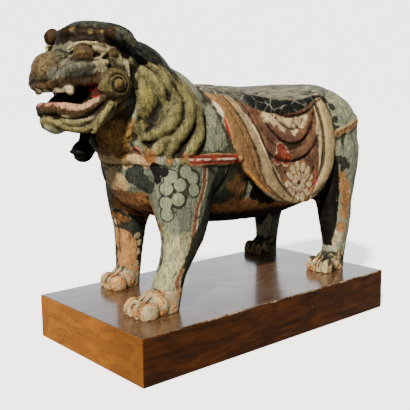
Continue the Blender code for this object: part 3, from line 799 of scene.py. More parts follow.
patches = {
    # round patches that run together: x, y, z, radius; y is the distance from the middle, counted negative
    "swagCream": [(30, -81, 243, 8), (46, -80, 239, 11), (60, -83, 231, 11), (78, -84, 226, 11),
                  (96, -83, 231, 10), (108, -81, 240, 7)],
    "swagMauve": [(84, -80, 243, 10), (96, -80, 246, 8), (66, -80, 244, 8), (112, -84, 222, 9),
                  (124, -88, 200, 8)],
    "flower": [(88, -91, 150, 34), (64, -91, 142, 12), (112, -91, 146, 16), (100, -91, 172, 14)],
    "blossom": [(51, -92, 195, 10), (62, -92, 182, 9), (44, -92, 184, 8)],
    "crown": [(-196, -20, 352, 34), (-180, -40, 345, 26), (-165, -20, 345, 34), (-206, -58, 346, 16),
              (-190, -62, 340, 15), (-172, -62, 331, 14), (-150, -10, 335, 34), (-140, -40, 318, 20),
              (-128, -10, 312, 32), (-108, -12, 292, 26), (-220, -8, 358, 16)],
    # painted shadow: black under each laid-back ear
    "earShadow": [(-184, -60, 324, 9), (-170, -60, 322, 8)],
    "nose": [(-266, -6, 298, 26), (-268, -18, 292, 13)],
    "noseTop": [(-262, -10, 318, 15), (-256, -22, 314, 12), (-250, -30, 310, 9)],
    "roll": [(-264, -28, 296, 9), (-257, -38, 299, 11), (-247, -46, 300, 12), (-235, -51, 302, 12),
             (-222, -56, 305, 11)],
    "muzzle": [(-252, -16, 321, 15), (-247, -30, 315, 13), (-240, -40, 309, 8), (-234, -12, 322, 16)],
    "eye": [(-233, -42, 321, 12.5)],
    "eyeBack": [(-214, -55, 322, 9), (-205, -57, 328, 8)],
    "temple": [(-201, -60, 322, 7.5)],
    "cheek": [(-208, -58, 311, 12), (-194, -58, 308, 12), (-220, -54, 312, 8), (-186, -60, 300, 9),
              (-222, -54, 299, 8)],
    "brow": [(-236, -8, 344, 12), (-229, -20, 345, 12), (-221, -33, 343, 12), (-211, -46, 341, 11),
             (-202, -54, 338, 9)],
    # painted highlights on the brow's curls
    "browCurlHighlights": [(-232, -16, 351, 4), (-219, -36, 346, 4), (-211, -50, 347, 3)],
    "whorlRim": [(-204, -64, 286, 21)],
    "whorlCore": [(-206, -73, 286, 7)],
    "neckBare": [(-196, -52, 250, 14), (-188, -46, 232, 20), (-200, -30, 226, 22), (-192, -12, 216, 22),
                 (-184, -30, 206, 16), (-186, -56, 240, 12), (-206, -50, 240, 10)],
    "chestCream": [(-178, -10, 192, 14), (-170, -30, 192, 13), (-158, -48, 192, 11), (-172, 4, 176, 14),
                   (-167, 14, 164, 13), (-168, -12, 162, 14), (-150, -58, 190, 8), (-164, -42, 203, 9)],
    "chestDark": [(-163, -34, 172, 12), (-158, -44, 165, 12), (-154, -52, 158, 10), (-160, -42, 180, 9)],
    "chestWood": [(-150, 30, 145, 22), (-155, 0, 140, 22), (-148, -30, 134, 20), (-140, -48, 124, 10),
                  (-140, 50, 150, 20)],
    "wedge": [(-149, -65, 178, 7), (-142, -71, 177, 6), (-148, -66, 168, 5), (-150, -62, 184, 6)],
    "bareShoulder": [(-34, -76, 152, 8), (-24, -76, 160, 12), (-16, -74, 144, 12), (-18, -66, 128, 14)],
    "rumpDark": [(183, -72, 252, 7), (180, -84, 234, 7), (182, -88, 222, 6), (175, -66, 264, 7)],
    "rumpPatch": [(184, -89, 172, 7), (194, -90, 168, 8), (203, -90, 162, 6), (190, -90, 158, 5)],
    "napeDark": [(-176, -36, 346, 20), (-160, -44, 332, 18), (-146, -44, 322, 20), (-128, -44, 306, 18),
                 (-112, -44, 292, 15), (-170, -12, 350, 20), (-146, -10, 332, 22), (-122, -8, 312, 20)],
    "mossField": [(-166, -72, 276, 9), (-164, -76, 262, 10), (-168, -74, 246, 10), (-176, -70, 232, 8)],
    "bellDark": [(-215, 0, 204, 22), (-206, 0, 228, 12)],
    "farKnob": [(-217, -59, 347, 15)],
    # painted shadow on the belly under the cloth's front hem
    "bellyShadow": [(22, -71, 137, 13), (40, -68, 128, 12), (58, -65, 122, 10)],
    "gum": [(-263, -10, 266, 7), (-257, -24, 265, 7), (-249, -34, 264, 6), (-240, -34, 265, 9),
            (-246, -8, 267, 14)],
    "throat": [(-222, -20, 272, 22), (-226, -40, 276, 13), (-240, -20, 274, 10)],
    "throatRed": [(-228, -48, 281, 7), (-224, -50, 275, 6)],
    "teeth": [(-269, 0, 279, 6), (-266, -13, 279, 6), (-260, -26, 279, 6), (-252, -37, 278, 8),
              (-251, -38, 272, 6)],
    "lipPink": [(-246, -43, 261, 6), (-241, -47, 262, 6), (-236, -50, 264, 5), (-251, -38, 261, 6),
                (-256, -32, 262, 5), (-232, -52, 267, 5), (-228, -54, 269, 5)],
    "lockTips": [(-157, -62, 196, 9), (-141, -82, 192, 7), (-118, -84, 197, 6)],
    "pinkSpot": [(-166, -48, 206, 6)],
    "scaleGround": [(-142, -75, 157, 10), (-126, -83, 161, 12), (-107, -86, 168, 12), (-107, -87, 154, 11),
                    (-130, -84, 143, 12), (-144, -75, 139, 10), (-142, -75, 125, 9), (-117, -83, 177, 11)],
    "creamShin": [(-141, -69, 94, 12), (-130, -85, 86, 12), (-122, -88, 94, 8), (-140, -79, 66, 17),
                  (-153, -76, 41, 15), (-134, -86, 70, 12)],
}

ownSide = {
    # patches on one leg alone, y as it is: positive on the lion's right
    "dullUpper": [(-130, 55, 100, 16), (-118, 46, 98, 16), (-122, 52, 84, 12), (-108, 44, 84, 10)],
    "orangeShin": [(-122, 58, 72, 15), (-118, 52, 58, 16), (-118, 54, 44, 15), (-120, 56, 32, 12)],
    "shinEdge": [(-130, 62, 96, 5), (-104, 45, 75, 5), (-100, 45, 64, 5), (-103, 46, 50, 5),
                 (-136, 68, 26, 8), (-106, 48, 34, 5)],
    "orangeThigh": [(190, -89, 148, 9), (196, -90, 130, 13), (200, -90, 108, 12), (196, -90, 88, 10),
                    (190, -90, 66, 9)],
    "creamThigh": [(206, -88, 126, 7), (204, -89, 104, 6), (198, -90, 84, 5), (184, -90, 56, 10),
                   (174, -84, 44, 10)],
}

scales = [(-142, -75, 157), (-126, -83, 161), (-107, -86, 168), (-107, -87, 153), (-130, -84, 143),
          (-144, -75, 139), (-142, -75, 124), (-117, -83, 177), (-136, -77, 172), (-145, -81, 53),
          (-71, -78, 225), (-64, -75, 237), (-59, -81, 213), (-78, -80, 214), (-88, -84, 226),
          (-74, -72, 248), (-68, -84, 203), (-48, -80, 222)]

strokes = {
    # painted or worn lines along the surface
    "redEdge": [(-46, -76, 246), (-42, -80, 228), (-37, -83, 208), (-31, -86, 190), (-25, -87, 180)],
    "creamEdge": [(-52, -60, 266), (-49, -70, 256), (-46, -76, 246)],
    "elbowLine": [(-44, -80, 174), (-48, -80, 160), (-56, -78, 150)],
    "foldCream": [(-8, -80, 244), (4, -88, 222), (14, -92, 200), (26, -92, 180), (44, -92, 158)],
    "flapLine": [(131, -86, 232), (130, -90, 208), (134, -92, 180), (132, -92, 158)],
    "hemRed": [(120, -92, 140), (128, -92, 150), (124, -92, 158)],
    "hemOrange": [(-12, -86, 168), (-4, -88, 158), (8, -90, 148), (20, -90, 138)],
}


def patchField(spots, rounds):
    return np.max([r - np.linalg.norm(spots - (x, y, z), axis=1) for x, y, z, r in rounds], axis=0)


def strokeField(spots, points):
    # distance from a stroke, counted down from 10
    near, gap, share = alongPath(spots, smoothPath(points, 3), 10)
    field = np.zeros(len(spots))
    field[near] = 10 - gap
    return field


def paintFields(skin):
    real = skin.spots
    # both sides are painted from the left one's drawing, apart from what lies on one leg alone
    spots = real.copy()
    spots[:, 1] = -np.abs(spots[:, 1])
    x, y, z = spots.T
    far = 40  # millimetres, further than any painted edge wanders
    sheet = lines["cloth"]
    fields = {}
    thick = np.where(z > 244, 9, -y - np.interp(z, *sheet["side"]) + 6)
    length = np.minimum(x - np.interp(z, *sheet["front"]), np.interp(z, *sheet["rear"]) - x)
    fields["cloth"] = np.minimum(length, thick)
    fields["border"] = np.interp(z, *sheet["fold"]) - x
    fields["second"] = np.interp(z, *sheet["second"]) - x
    fields["clothRoll"] = x - np.interp(z, *sheet["roll"])
    fields["backDark"] = z - np.interp(x, *lines["backDark"])
    fields["backTop"] = z - np.interp(x, *lines["backTop"])
    band = z - np.interp(x, *lines["band"])
    fields["bandAcross"] = np.where((x < -14) & (y < -30), band, far)
    fields["along"] = x
    fields["upward"] = z
    fields["scaleReach"] = np.min([np.linalg.norm(spots - centre, axis=1) for centre in scales], axis=0)
    fields["crupper"] = np.where(x > 165, z - np.interp(x, *lines["crupper"]), far)
    onFrontLeg = (real[:, 1] < -40) & (x < -60) & (z < 181)
    fields["stripe"] = np.where(onFrontLeg, x - np.interp(z, *lines["stripe"]), -far)
    fields["legDark"] = np.where((x < 0) & (z < 180), x - np.interp(z, *lines["legDark"]), -far)
    onThigh = (x > 130) & (z < 196) & (z > 36)
    fields["thighBlackAndShade"] = np.where(onThigh, np.interp(z, *lines["thighBlackAndShade"]) - x, -far)
    rightFront = (real[:, 1] > 0) & (x < 0)
    # painted shade: black on the legs' faces turned to the middle, below 120 mm, on all but the front right
    # leg
    fields["innerLegShade"] = np.where((z < 120) & ~rightFront, 62 + y, -far)
    fields["under"] = np.minimum(128 - z + 0.35 * (66 + y), -60 * skin.out[:, 2] - 18)
    fields["low"] = 30 - z
    # all before the rear toes' ends: the front paws are light all over, the rear ones on their toes
    toeEnd = {side: pawX - long * 0.62 for side, pawX, out, long, wide in body["paws"] if pawX > 0}
    rearToes = np.where(real[:, 1] < 0, toeEnd[-1], toeEnd[1]) - x
    fields["toes"] = np.where(z < 30, rearToes, -far)

    def raised(field, points, reach, widths):
        # the field is the path's half width on it, and a millimetre less for each millimetre away
        near, gap, share = alongPath(spots, smoothPath(points, 3), reach)
        top = np.interp(share, np.linspace(0, 1, len(widths)), widths)
        field[near] = np.maximum(field[near], top - gap)

    hair = np.full(len(spots), -20.0)
    for points, widths in mane["locks"]:
        raised(hair, points, 26, [width + 6 for width in widths])
    raised(hair, mane["field"], 30, [19])
    for name, width in (("jawFringe", 11), ("cheekRise", 9), ("cheekTuft", 8)):
        raised(hair, head[name], 20, [width])
    fields["hair"] = np.maximum(hair, patchField(spots, mane["ends"]))
    lip = np.full(len(spots), -20.0)
    raised(lip, head["lowerLip"], 20, [10])
    raised(lip, head["lipEdge"], 20, [8])
    fields["lips"] = lip
    fields["head"] = np.minimum(-x - 178 + 0.2 * (z - 300), z - 232 + 0.45 * (x + 250))
    for name, rounds in patches.items():
        fields[name] = patchField(spots, rounds)
    for name, rounds in ownSide.items():
        fields[name] = patchField(real, rounds)
    for name, points in strokes.items():
        fields[name] = strokeField(spots, points)
    fields["crest"] = np.einsum("ij,ij->i", skin.spots - skin.eased(10), skin.out)
    fields["form"] = np.einsum("ij,ij->i", skin.spots - skin.eased(60), skin.out)
    return fields


def storeFields(mesh, fields):
    for name, values in fields.items():
        stored = mesh.attributes.new(name, "FLOAT", "POINT")
        stored.data.foreach_set("value", values.astype(np.float32))


pigmentDepth = 0.58  # all paint chips are mixed this much darker than they look in daylight


def chip(red, green, blue):
    # a colour read off a paint chart, 0 to 255, as light
    tones = []
    for byte in (red, green, blue):
        share = byte / 255
        tones.append((share / 12.92 if share < 0.04 else ((share + 0.055) / 1.055) ** 2.4) * pigmentDepth)
    return (*tones, 1.0)


class Graph:
    # short hand for laying nodes
    def __init__(self, tree):
        self.tree = tree

    def put(self, socket, value):
        if isinstance(value, bpy.types.NodeSocket):
            self.tree.links.new(value, socket)
        else:
            socket.default_value = value

    def add(self, kind, **settings):
        made = self.tree.nodes.new("ShaderNode" + kind)
        for name, setting in settings.items():
            setattr(made, name, setting)
        return made

    def math(self, operation, *values, clamp=False):
        made = self.add("Math", operation=operation, use_clamp=clamp)
        for socket, value in zip(made.inputs, values):
            self.put(socket, value)
        return made.outputs[0]

    def between(self, value, low, high, start=0.0, end=1.0):
        made = self.add("MapRange", interpolation_type="SMOOTHSTEP")
        for socket, setting in zip(made.inputs, (value, low, high, start, end)):
            self.put(socket, setting)
        return made.outputs[0]

    def mix(self, share, under, over, blend="MIX"):
        made = self.add("Mix", data_type="RGBA", blend_type=blend)
        self.put(made.inputs[0], share)
        self.put(made.inputs[6], under)
        self.put(made.inputs[7], over)
        return made.outputs[2]

    def noise(self, place, scale, detail=3.0, roughness=0.55, twist=0.0):
        made = self.add("TexNoise")
        self.put(made.inputs["Vector"], place)
        for name, value in (("Scale", scale), ("Detail", detail), ("Roughness", roughness),
                            ("Distortion", twist)):
            made.inputs[name].default_value = value
        return made.outputs["Fac"]

    def field(self, name):
        return self.add("Attribute", attribute_name=name).outputs["Fac"]

    def stretched(self, place, along, turn=(0, 0, 0)):
        made = self.add("Mapping")
        self.put(made.inputs["Vector"], place)
        made.inputs["Scale"].default_value = along
        made.inputs["Rotation"].default_value = [math.radians(angle) for angle in turn]
        return made.outputs[0]

    def groupOf(self, group, **values):
        made = self.tree.nodes.new("ShaderNodeGroup")
        made.node_tree = group
        for name, value in values.items():
            self.put(made.inputs[name], value)
        return made.outputs


def newGroup(name, inputs, outputs):
    group = bpy.data.node_groups.new(name, "ShaderNodeTree")
    for title, kind, start in inputs:
        socket = group.interface.new_socket(name=title, in_out="INPUT", socket_type=kind)
        if start is not None:
            socket.default_value = start
    for title, kind in outputs:
        group.interface.new_socket(name=title, in_out="OUTPUT", socket_type=kind)
    graph = Graph(group)
    entry = group.nodes.new("NodeGroupInput")
    leave = group.nodes.new("NodeGroupOutput")
    return group, graph, entry, leave


def grainGroup():
    # long grain of carved wood, its fibre and slow bands of tone
    group, g, entry, leave = newGroup("wood grain",
                                      [("Place", "NodeSocketVector", None),
                                       ("Fineness", "NodeSocketFloat", 1.0)],
                                      [("Bands", "NodeSocketFloat"), ("Fibre", "NodeSocketFloat")])
    place = entry.outputs["Place"]
    scaled = g.add("VectorMath", operation="SCALE")
    g.put(scaled.inputs[0], place)
    g.put(scaled.inputs["Scale"], entry.outputs["Fineness"])
    long = g.stretched(scaled.outputs[0], (4.0, 30.0, 30.0))
    bands = g.noise(long, 2.2, 5.0, 0.6, 0.9)
    fibre = g.noise(g.stretched(scaled.outputs[0], (12.0, 260.0, 260.0)), 2.0, 4.0, 0.65)
    g.put(leave.inputs["Bands"], g.between(bands, 0.30, 0.70))
    g.put(leave.inputs["Fibre"], fibre)
    return group


def rubbedGroup():
    # where old paint is rubbed through, flaked or dirty, and painted shade in its hollows
    group, g, entry, leave = newGroup("rubbed paint",
                                      [("Place", "NodeSocketVector", None),
                                       ("Crest", "NodeSocketFloat", 0.0),
                                                       ("Form", "NodeSocketFloat", 0.0),
                                       ("Wear", "NodeSocketFloat", 0.5)],
                                      [("Thin", "NodeSocketFloat"), ("Bare", "NodeSocketFloat"),
                                       ("Rim", "NodeSocketFloat"),
                                       ("HollowDirtAndShade", "NodeSocketFloat"), ("Height", "NodeSocketFloat")])
    place, crest, form, wear = [entry.outputs[name] for name in ("Place", "Crest", "Form", "Wear")]
    broad = g.noise(place, 26.0, 4.0, 0.6, 0.3)
    patchy = g.noise(place, 85.0, 5.0, 0.62, 0.5)
    fine = g.noise(place, 340.0, 3.0, 0.6)
    # worn score: rises on crests, in rubbed zones and with the noise
    score = g.math("ADD", g.between(crest, -1.2, 1.2, -0.14, 0.16), g.math("MULTIPLY", form, 0.008))
    score = g.math("ADD", score, g.math("MULTIPLY", g.math("SUBTRACT", patchy, 0.5), 1.9))
    score = g.math("ADD", score, g.math("MULTIPLY", g.math("SUBTRACT", broad, 0.5), 1.1))
    score = g.math("ADD", score, g.math("MULTIPLY", g.math("SUBTRACT", fine, 0.5), 0.5))
    score = g.math("ADD", score, g.math("SUBTRACT", wear, 0.75))
    g.put(leave.inputs["Thin"], g.between(score, -0.25, 0.30))
    g.put(leave.inputs["Bare"], g.between(score, 0.33, 0.40))
    g.put(leave.inputs["Rim"],
          g.math("MULTIPLY", g.between(score, 0.20, 0.31), g.between(score, 0.42, 0.35)))
    # dark in the hollows: dirt and painted shade together
    hollow = g.math("ADD", g.math("MULTIPLY", crest, -1.0), g.math("MULTIPLY", form, -0.10))
    hollow = g.math("ADD", hollow, g.math("MULTIPLY", g.math("SUBTRACT", patchy, 0.5), 0.8))
    g.put(leave.inputs["HollowDirtAndShade"], g.between(hollow, 0.02, 0.75))
    g.put(leave.inputs["Height"],
          g.math("SUBTRACT", g.math("MULTIPLY", fine, 0.5), g.between(score, 0.28, 0.42)))
    return group


# paint chips, 0 to 255: the lighter and the darker tone of each, or one tone for thin lines and marks
paints = {
    "celadon": ((158, 158, 132), (112, 118, 98)),
    "celadonDeep": ((120, 124, 104), (74, 82, 72)),
    "hair": ((116, 108, 72), (64, 60, 38)),
    "moss": ((146, 142, 78), (106, 108, 56)),
    "mossField": ((184, 172, 92), (112, 104, 52)),
    "lockGrooveShade": ((30, 28, 18),),
    "lockCrestHighlight": ((146, 140, 92),),
    "lockTips": ((160, 110, 62), (124, 76, 40)),
    "crown": ((72, 76, 66), (32, 35, 29)),
    "nose": ((104, 88, 62), (64, 52, 37)),
    "noseTop": ((112, 108, 86), (58, 56, 44)),
    "roll": ((96, 95, 82), (56, 55, 46)),
    "muzzle": ((132, 130, 104), (92, 92, 74)),
    "cheek": ((158, 148, 114), (120, 112, 82)),
    "brow": ((60, 44, 24), (22, 17, 10)),
    "browCurlHighlights": ((124, 106, 62),),
    "eye": ((100, 80, 52), (50, 38, 23)),
    "eyeBack": ((168, 154, 122), (120, 104, 76)),
    "whorl": ((104, 94, 60), (46, 43, 28)),
    "whorlCore": ((98, 80, 48),),
    "lips": ((76, 58, 40), (44, 33, 22)),
    "lipPink": ((196, 164, 128), (116, 74, 56)),
    "pink": ((176, 120, 98), (140, 84, 68)),
    "pinkSpot": ((196, 110, 92),),
    "throat": ((34, 20, 16), (20, 12, 10)),
    "red": ((166, 48, 38), (116, 36, 28)),
    "ivory": ((190, 178, 146), (150, 132, 98)),
    "neck": ((150, 116, 62), (92, 68, 36)),
    "chest": ((222, 192, 142), (164, 130, 84)),
    "belly": ((176, 122, 74), (108, 76, 46)),
    "bareShoulder": ((128, 92, 52), (52, 42, 28)),
    "slate": ((62, 66, 56), (40, 44, 40)),
    "black": ((28, 24, 19), (14, 13, 11)),
    "orange": ((186, 138, 88), (132, 92, 56)),
    "scaleDisc": ((146, 152, 122), (112, 122, 98)),
    "scaleOutline": ((44, 46, 36),),
    "shinPale": ((184, 178, 134), (118, 120, 88)),
    "legBack": ((112, 116, 96), (70, 76, 64)),
    "legShade": ((58, 60, 48), (26, 27, 21)),
    "stripe": ((136, 96, 72), (98, 66, 48)),
    "stripeCream": ((206, 188, 152),),
    "stripeEdge": ((176, 156, 118),),
    "elbowLine": ((186, 168, 128),),
    "pawPale": ((206, 178, 128), (122, 98, 66)),
    "toePale": ((190, 174, 138), (110, 100, 76)),
    "ochre": ((150, 113, 74), (106, 79, 51)),
    "foldCream": ((164, 144, 108), (124, 104, 74)),
    "field": ((124, 90, 66), (96, 68, 50)),
    "mauve": ((112, 80, 64), (82, 56, 45)),
    "swag": ((206, 186, 142), (168, 144, 104)),
    "flapLine": ((196, 178, 136),),
    "petal": ((212, 194, 154), (160, 132, 96)),
    "petalWorn": ((226, 208, 168), (176, 150, 112)),
    "flowerGround": ((150, 116, 70), (120, 88, 60)),
    "flowerHeart": ((92, 58, 34),),
    "madder": ((150, 68, 50), (108, 50, 38)),
    "foldSeam": ((74, 58, 42),),
    "borderSeam": ((70, 52, 34),),
    "clothRoll": ((178, 158, 116), (128, 108, 74)),
    "rollSeam": ((200, 184, 146),),
    "hem": ((150, 116, 74),),
    "hemRed": ((166, 84, 70),),
    "hemOrange": ((190, 126, 50),),
    "foldLine": ((200, 184, 144),),
    "padBlack": ((44, 50, 48), (26, 30, 30)),
    "padFront": ((104, 101, 88), (58, 56, 48)),
    "padCracks": ((150, 148, 130),),
    "backTop": ((140, 138, 122), (74, 75, 65)),
    "backEdge": ((150, 132, 108),),
    "bandEdge": ((168, 148, 108), (112, 88, 56)),
    "bandRed": ((160, 72, 54), (110, 40, 30)),
    "bandCream": ((204, 186, 156),),
    "strap": ((172, 154, 112), (124, 106, 74)),
    "strapMiddle": ((150, 112, 76), (96, 66, 42)),
    "creamEdge": ((204, 190, 158),),
    "bareWood": ((160, 112, 68), (98, 62, 36)),
    "woodFibre": ((70, 46, 28),),
    "gesso": ((208, 196, 160), (168, 152, 112)),
    "grimeAndShade": ((34, 27, 18), (20, 16, 11)),
    "shadeAndBlackPaint": ((16, 14, 11),),
}


def woodPaint(grain, rubbed):
    material = bpy.data.materials.new("worn painted wood")
    material.use_nodes = True
    g = Graph(material.node_tree)
    shader = material.node_tree.nodes["Principled BSDF"]
    place = g.add("TexCoord").outputs["Object"]
    crest, form = g.field("crest"), g.field("form")
    broad = g.noise(place, 20.0, 3.0, 0.55)
    middle = g.noise(place, 70.0, 4.0, 0.6, 0.4)
    small = g.noise(place, 210.0, 4.0, 0.65, 0.3)
    speck = g.noise(place, 620.0, 2.0, 0.6)
    # brush marks run down the figure and along its back
    brushed = g.noise(g.stretched(place, (240, 240, 46), (10, 8, 0)), 1.0, 4.0, 0.65, 0.8)
    wiped = g.noise(g.stretched(place, (34, 170, 170), (0, 0, 6)), 1.0, 4.0, 0.6, 0.6)
    scored = g.add("TexVoronoi", feature="DISTANCE_TO_EDGE")
    g.put(scored.inputs["Vector"], g.stretched(place, (90, 90, 26), (6, -8, 0)))
    scored.inputs["Scale"].default_value = 1.0
    waver = g.math("SUBTRACT",
                   g.math("ADD", g.math("MULTIPLY", middle, 0.6), g.math("MULTIPLY", small, 0.4)), 0.5)
    mottled = g.between(g.math("ADD", g.math("MULTIPLY", middle, 0.55), g.math("MULTIPLY", brushed, 0.45)),
                        0.36, 0.64)

    def tone(name, share=None):
        light, *rest = paints[name]
        if not rest:
            return chip(*light)
        return g.mix(mottled if share is None else share, chip(*rest[0]), chip(*light))

    def zone(name, shift=0.0, wander=8.0, soft=0.8):
        # 1 inside a zone, with a wandering painted edge
        distance = g.math("ADD", g.field(name), g.math("MULTIPLY", waver, wander * 1.7))
        return g.between(distance, -soft + shift, soft + shift)

    def both(*masks):
        share = masks[0]
        for mask in masks[1:]:
            share = g.math("MULTIPLY", share, mask)
        return share

    def inverse(mask):
        return g.math("SUBTRACT", 1.0, mask)

    def wavering(name, wander):
        return g.math("ADD", g.field(name), g.math("MULTIPLY", waver, wander))

    def lineAt(distance, outside, inside):
        # 1 on a painted line, from its own distance field
        return g.between(g.math("ABSOLUTE", distance), outside, inside)

    def coated(colour, coats):
        # each coat: its zone, how far the edge wanders, its softness, the paint, what mixes the two tones
        for name, wander, soft, paint, share in coats:
            colour = g.mix(zone(name, 0, wander, soft), colour, tone(paint, share))
        return colour

    along, upward = g.field("along"), g.field("upward")

    # body
    colour = g.mix(g.between(broad, 0.30, 0.50), tone("celadonDeep"), tone("celadon"))
    upperLeg = both(g.between(upward, 196, 176), g.between(upward, 84, 112), g.between(along, -30, -50))
    colour = g.mix(both(upperLeg, g.between(middle, 0.36, 0.60, 0.45, 0.9)), colour,
                   tone("celadonDeep", brushed))

    # painted scale discs with dark outlines
    ring = wavering("scaleReach", 2.4)
    colour = coated(colour, [("scaleGround", 5.0, 0.8, "slate", None)])
    strong = g.between(upward, 200, 190, 0.22, 1.0)
    colour = g.mix(both(g.between(ring, 9.0, 8.2), strong), colour, tone("scaleDisc", small))
    outline = both(g.between(ring, 7.9, 8.6), g.between(ring, 10.2, 9.4),
                   g.between(upward, 200, 190, 0.5, 0.9))
    colour = g.mix(outline, colour, tone("scaleOutline"))

    # front leg: pale shin, the brown stripe with its cream edges, painted shade on the dark rear
    colour = g.mix(g.math("MULTIPLY", zone("creamShin", 0, 12, 3), 0.85), colour, tone("shinPale"))
    stripe = wavering("stripe", 3.0)
    inStripe = both(g.between(stripe, -1.4, -0.6), g.between(stripe, 7.4, 6.6))
    colour = g.mix(g.between(stripe, 6.8, 8.0), colour, tone("legBack", middle))
    colour = g.mix(both(inStripe, g.between(middle, 0.30, 0.44, 0.5, 1.0)), colour, tone("stripe", small))
    creamLine = both(lineAt(g.math("SUBTRACT", stripe, 7.0), 1.6, 0.8), g.between(small, 0.38, 0.50))
    colour = g.mix(g.math("MULTIPLY", creamLine, 0.9), colour, tone("stripeCream"))
    colour = g.mix(g.math("MULTIPLY", lineAt(g.math("ADD", stripe, 0.6), 1.2, 0.5), 0.6), colour,
                   tone("stripeEdge"))
    colour = coated(colour, [("legDark", 12, 2.0, "legShade", middle)])
    colour = g.mix(zone("elbowLine", 8.2, 2.0, 0.8), colour, tone("elbowLine"))

    # chest, neck and legs
    colour = coated(colour, [
        ("chestWood", 14, 0.8, "belly", None), ("chestCream", 12, 0.8, "chest", small),
        ("chestDark", 8, 0.8, "slate", None), ("wedge", 5, 0.8, "black", None),
        ("bareShoulder", 14, 2, "bareShoulder", None), ("dullUpper", 8, 0.8, "slate", None),
        ("shinEdge", 6, 0.8, "ivory", None), ("orangeShin", 8, 0.8, "orange", brushed),
        ("creamThigh", 8, 0.8, "ivory", None), ("orangeThigh", 10, 0.8, "orange", brushed),
        # the black on the front of the rear thighs is dark paint and painted shade together
        ("thighBlackAndShade", 6, 1.2, "black", None), ("rumpDark", 6, 0.8, "slate", None),
        ("rumpPatch", 10, 0.8, "slate", None), ("under", 14, 4, "belly", None),
        # the black on the belly under the cloth's hem is painted shadow
        ("bellyShadow", 8, 0.8, "black", None),
    ])
    # the black on the legs' inner faces is painted shade
    colour = g.mix(zone("innerLegShade", 6, 14, 4), colour, tone("black", middle))

    # paws: dull blue-grey in patches with pale cream, orange toes
    paw = zone("low", 0, 6, 2)
    colour = g.mix(paw, colour, g.mix(g.between(middle, 0.46, 0.58), tone("slate"), tone("pawPale", small)))
    toes = both(paw, zone("toes", 0, 9, 2))
    colour = g.mix(toes, colour,
                   g.mix(g.between(middle, 0.46, 0.56), tone("toePale", small), tone("orange")))

    # head
    colour = coated(colour, [
        ("head", 6, 3, "cheek", None), ("neckBare", 12, 0.8, "neck", None), ("muzzle", 5, 2, "muzzle", None),
        ("noseTop", 8, 5, "noseTop", None), ("nose", 12, 7, "nose", None), ("roll", 4, 1.6, "roll", None),
    ])
    inHair = zone("hair", 0, 6, 1.4)
    colour = g.mix(inHair, colour, g.mix(g.between(small, 0.56, 0.66), tone("hair"), tone("moss")))
    # painted shade in the grooves between the locks and painted highlights on their crests, read from the
    # carved form
    colour = g.mix(both(inHair, g.between(form, 0.0, -0.9, 0.0, 0.85)), colour, tone("lockGrooveShade"))
    colour = g.mix(both(inHair, g.between(form, 0.7, 2.2, 0.0, 0.30)), colour, tone("lockCrestHighlight"))
    colour = coated(colour, [
        ("mossField", 12, 4, "mossField", small), ("crown", 10, 3, "crown", None),
        ("cheek", 6, 2, "cheek", None),
        ("eyeBack", 5, 1.5, "eyeBack", small), ("eye", 3, 1, "eye", small), ("temple", 3, 1, "eye", None),
        # the brow's dark brown is its paint together with painted shade under the hair's overhanging edge
        ("brow", 6, 1.5, "brow", None), ("farKnob", 4, 1, "brow", None),
        # the pale spots on the brow's curls are painted highlights
        ("browCurlHighlights", 5, 1, "browCurlHighlights", None),
        ("whorlRim", 2, 1, "whorl", small), ("whorlCore", 2, 2, "whorlCore", None),
        ("lips", 4, 1, "lips", None),
        ("gum", 3, 1, "pink", None), ("lipPink", 4, 1, "lipPink", small), ("throat", 2, 1, "throat", None),
        # the black under the ears is painted shadow
        ("throatRed", 3, 1, "red", None), ("teeth", 2, 0.8, "ivory", None), ("earShadow", 3, 1, "black", None),
        ("bellDark", 3, 1, "black", None), ("lockTips", 8, 2, "lockTips", small),
        ("pinkSpot", 4, 1.5, "pinkSpot", None),
    ])

    # saddle cloth
    cloth = zone("cloth", 0, 1.2, 0.6)
    field = g.mix(g.between(broad, 0.4, 0.6), tone("field"), tone("mauve"))
    field = coated(field, [("swagMauve", 8, 0.8, "mauve", None)])
    field = g.mix(both(zone("swagCream", 0, 15, 2), g.between(small, 0.36, 0.50, 0.35, 1.0)), field,
                  tone("swag"))
    field = g.mix(zone("flapLine", 8.0, 5, 0.8), field, tone("flapLine"))
    field = coated(field, [("blossom", 6, 1, "madder", None)])
    blossomRim = both(zone("blossom", -1.8, 6, 0.6), inverse(zone("blossom", 0, 6, 0.6)))
    field = g.mix(both(blossomRim, g.between(small, 0.42, 0.52)), field, tone("petal"))
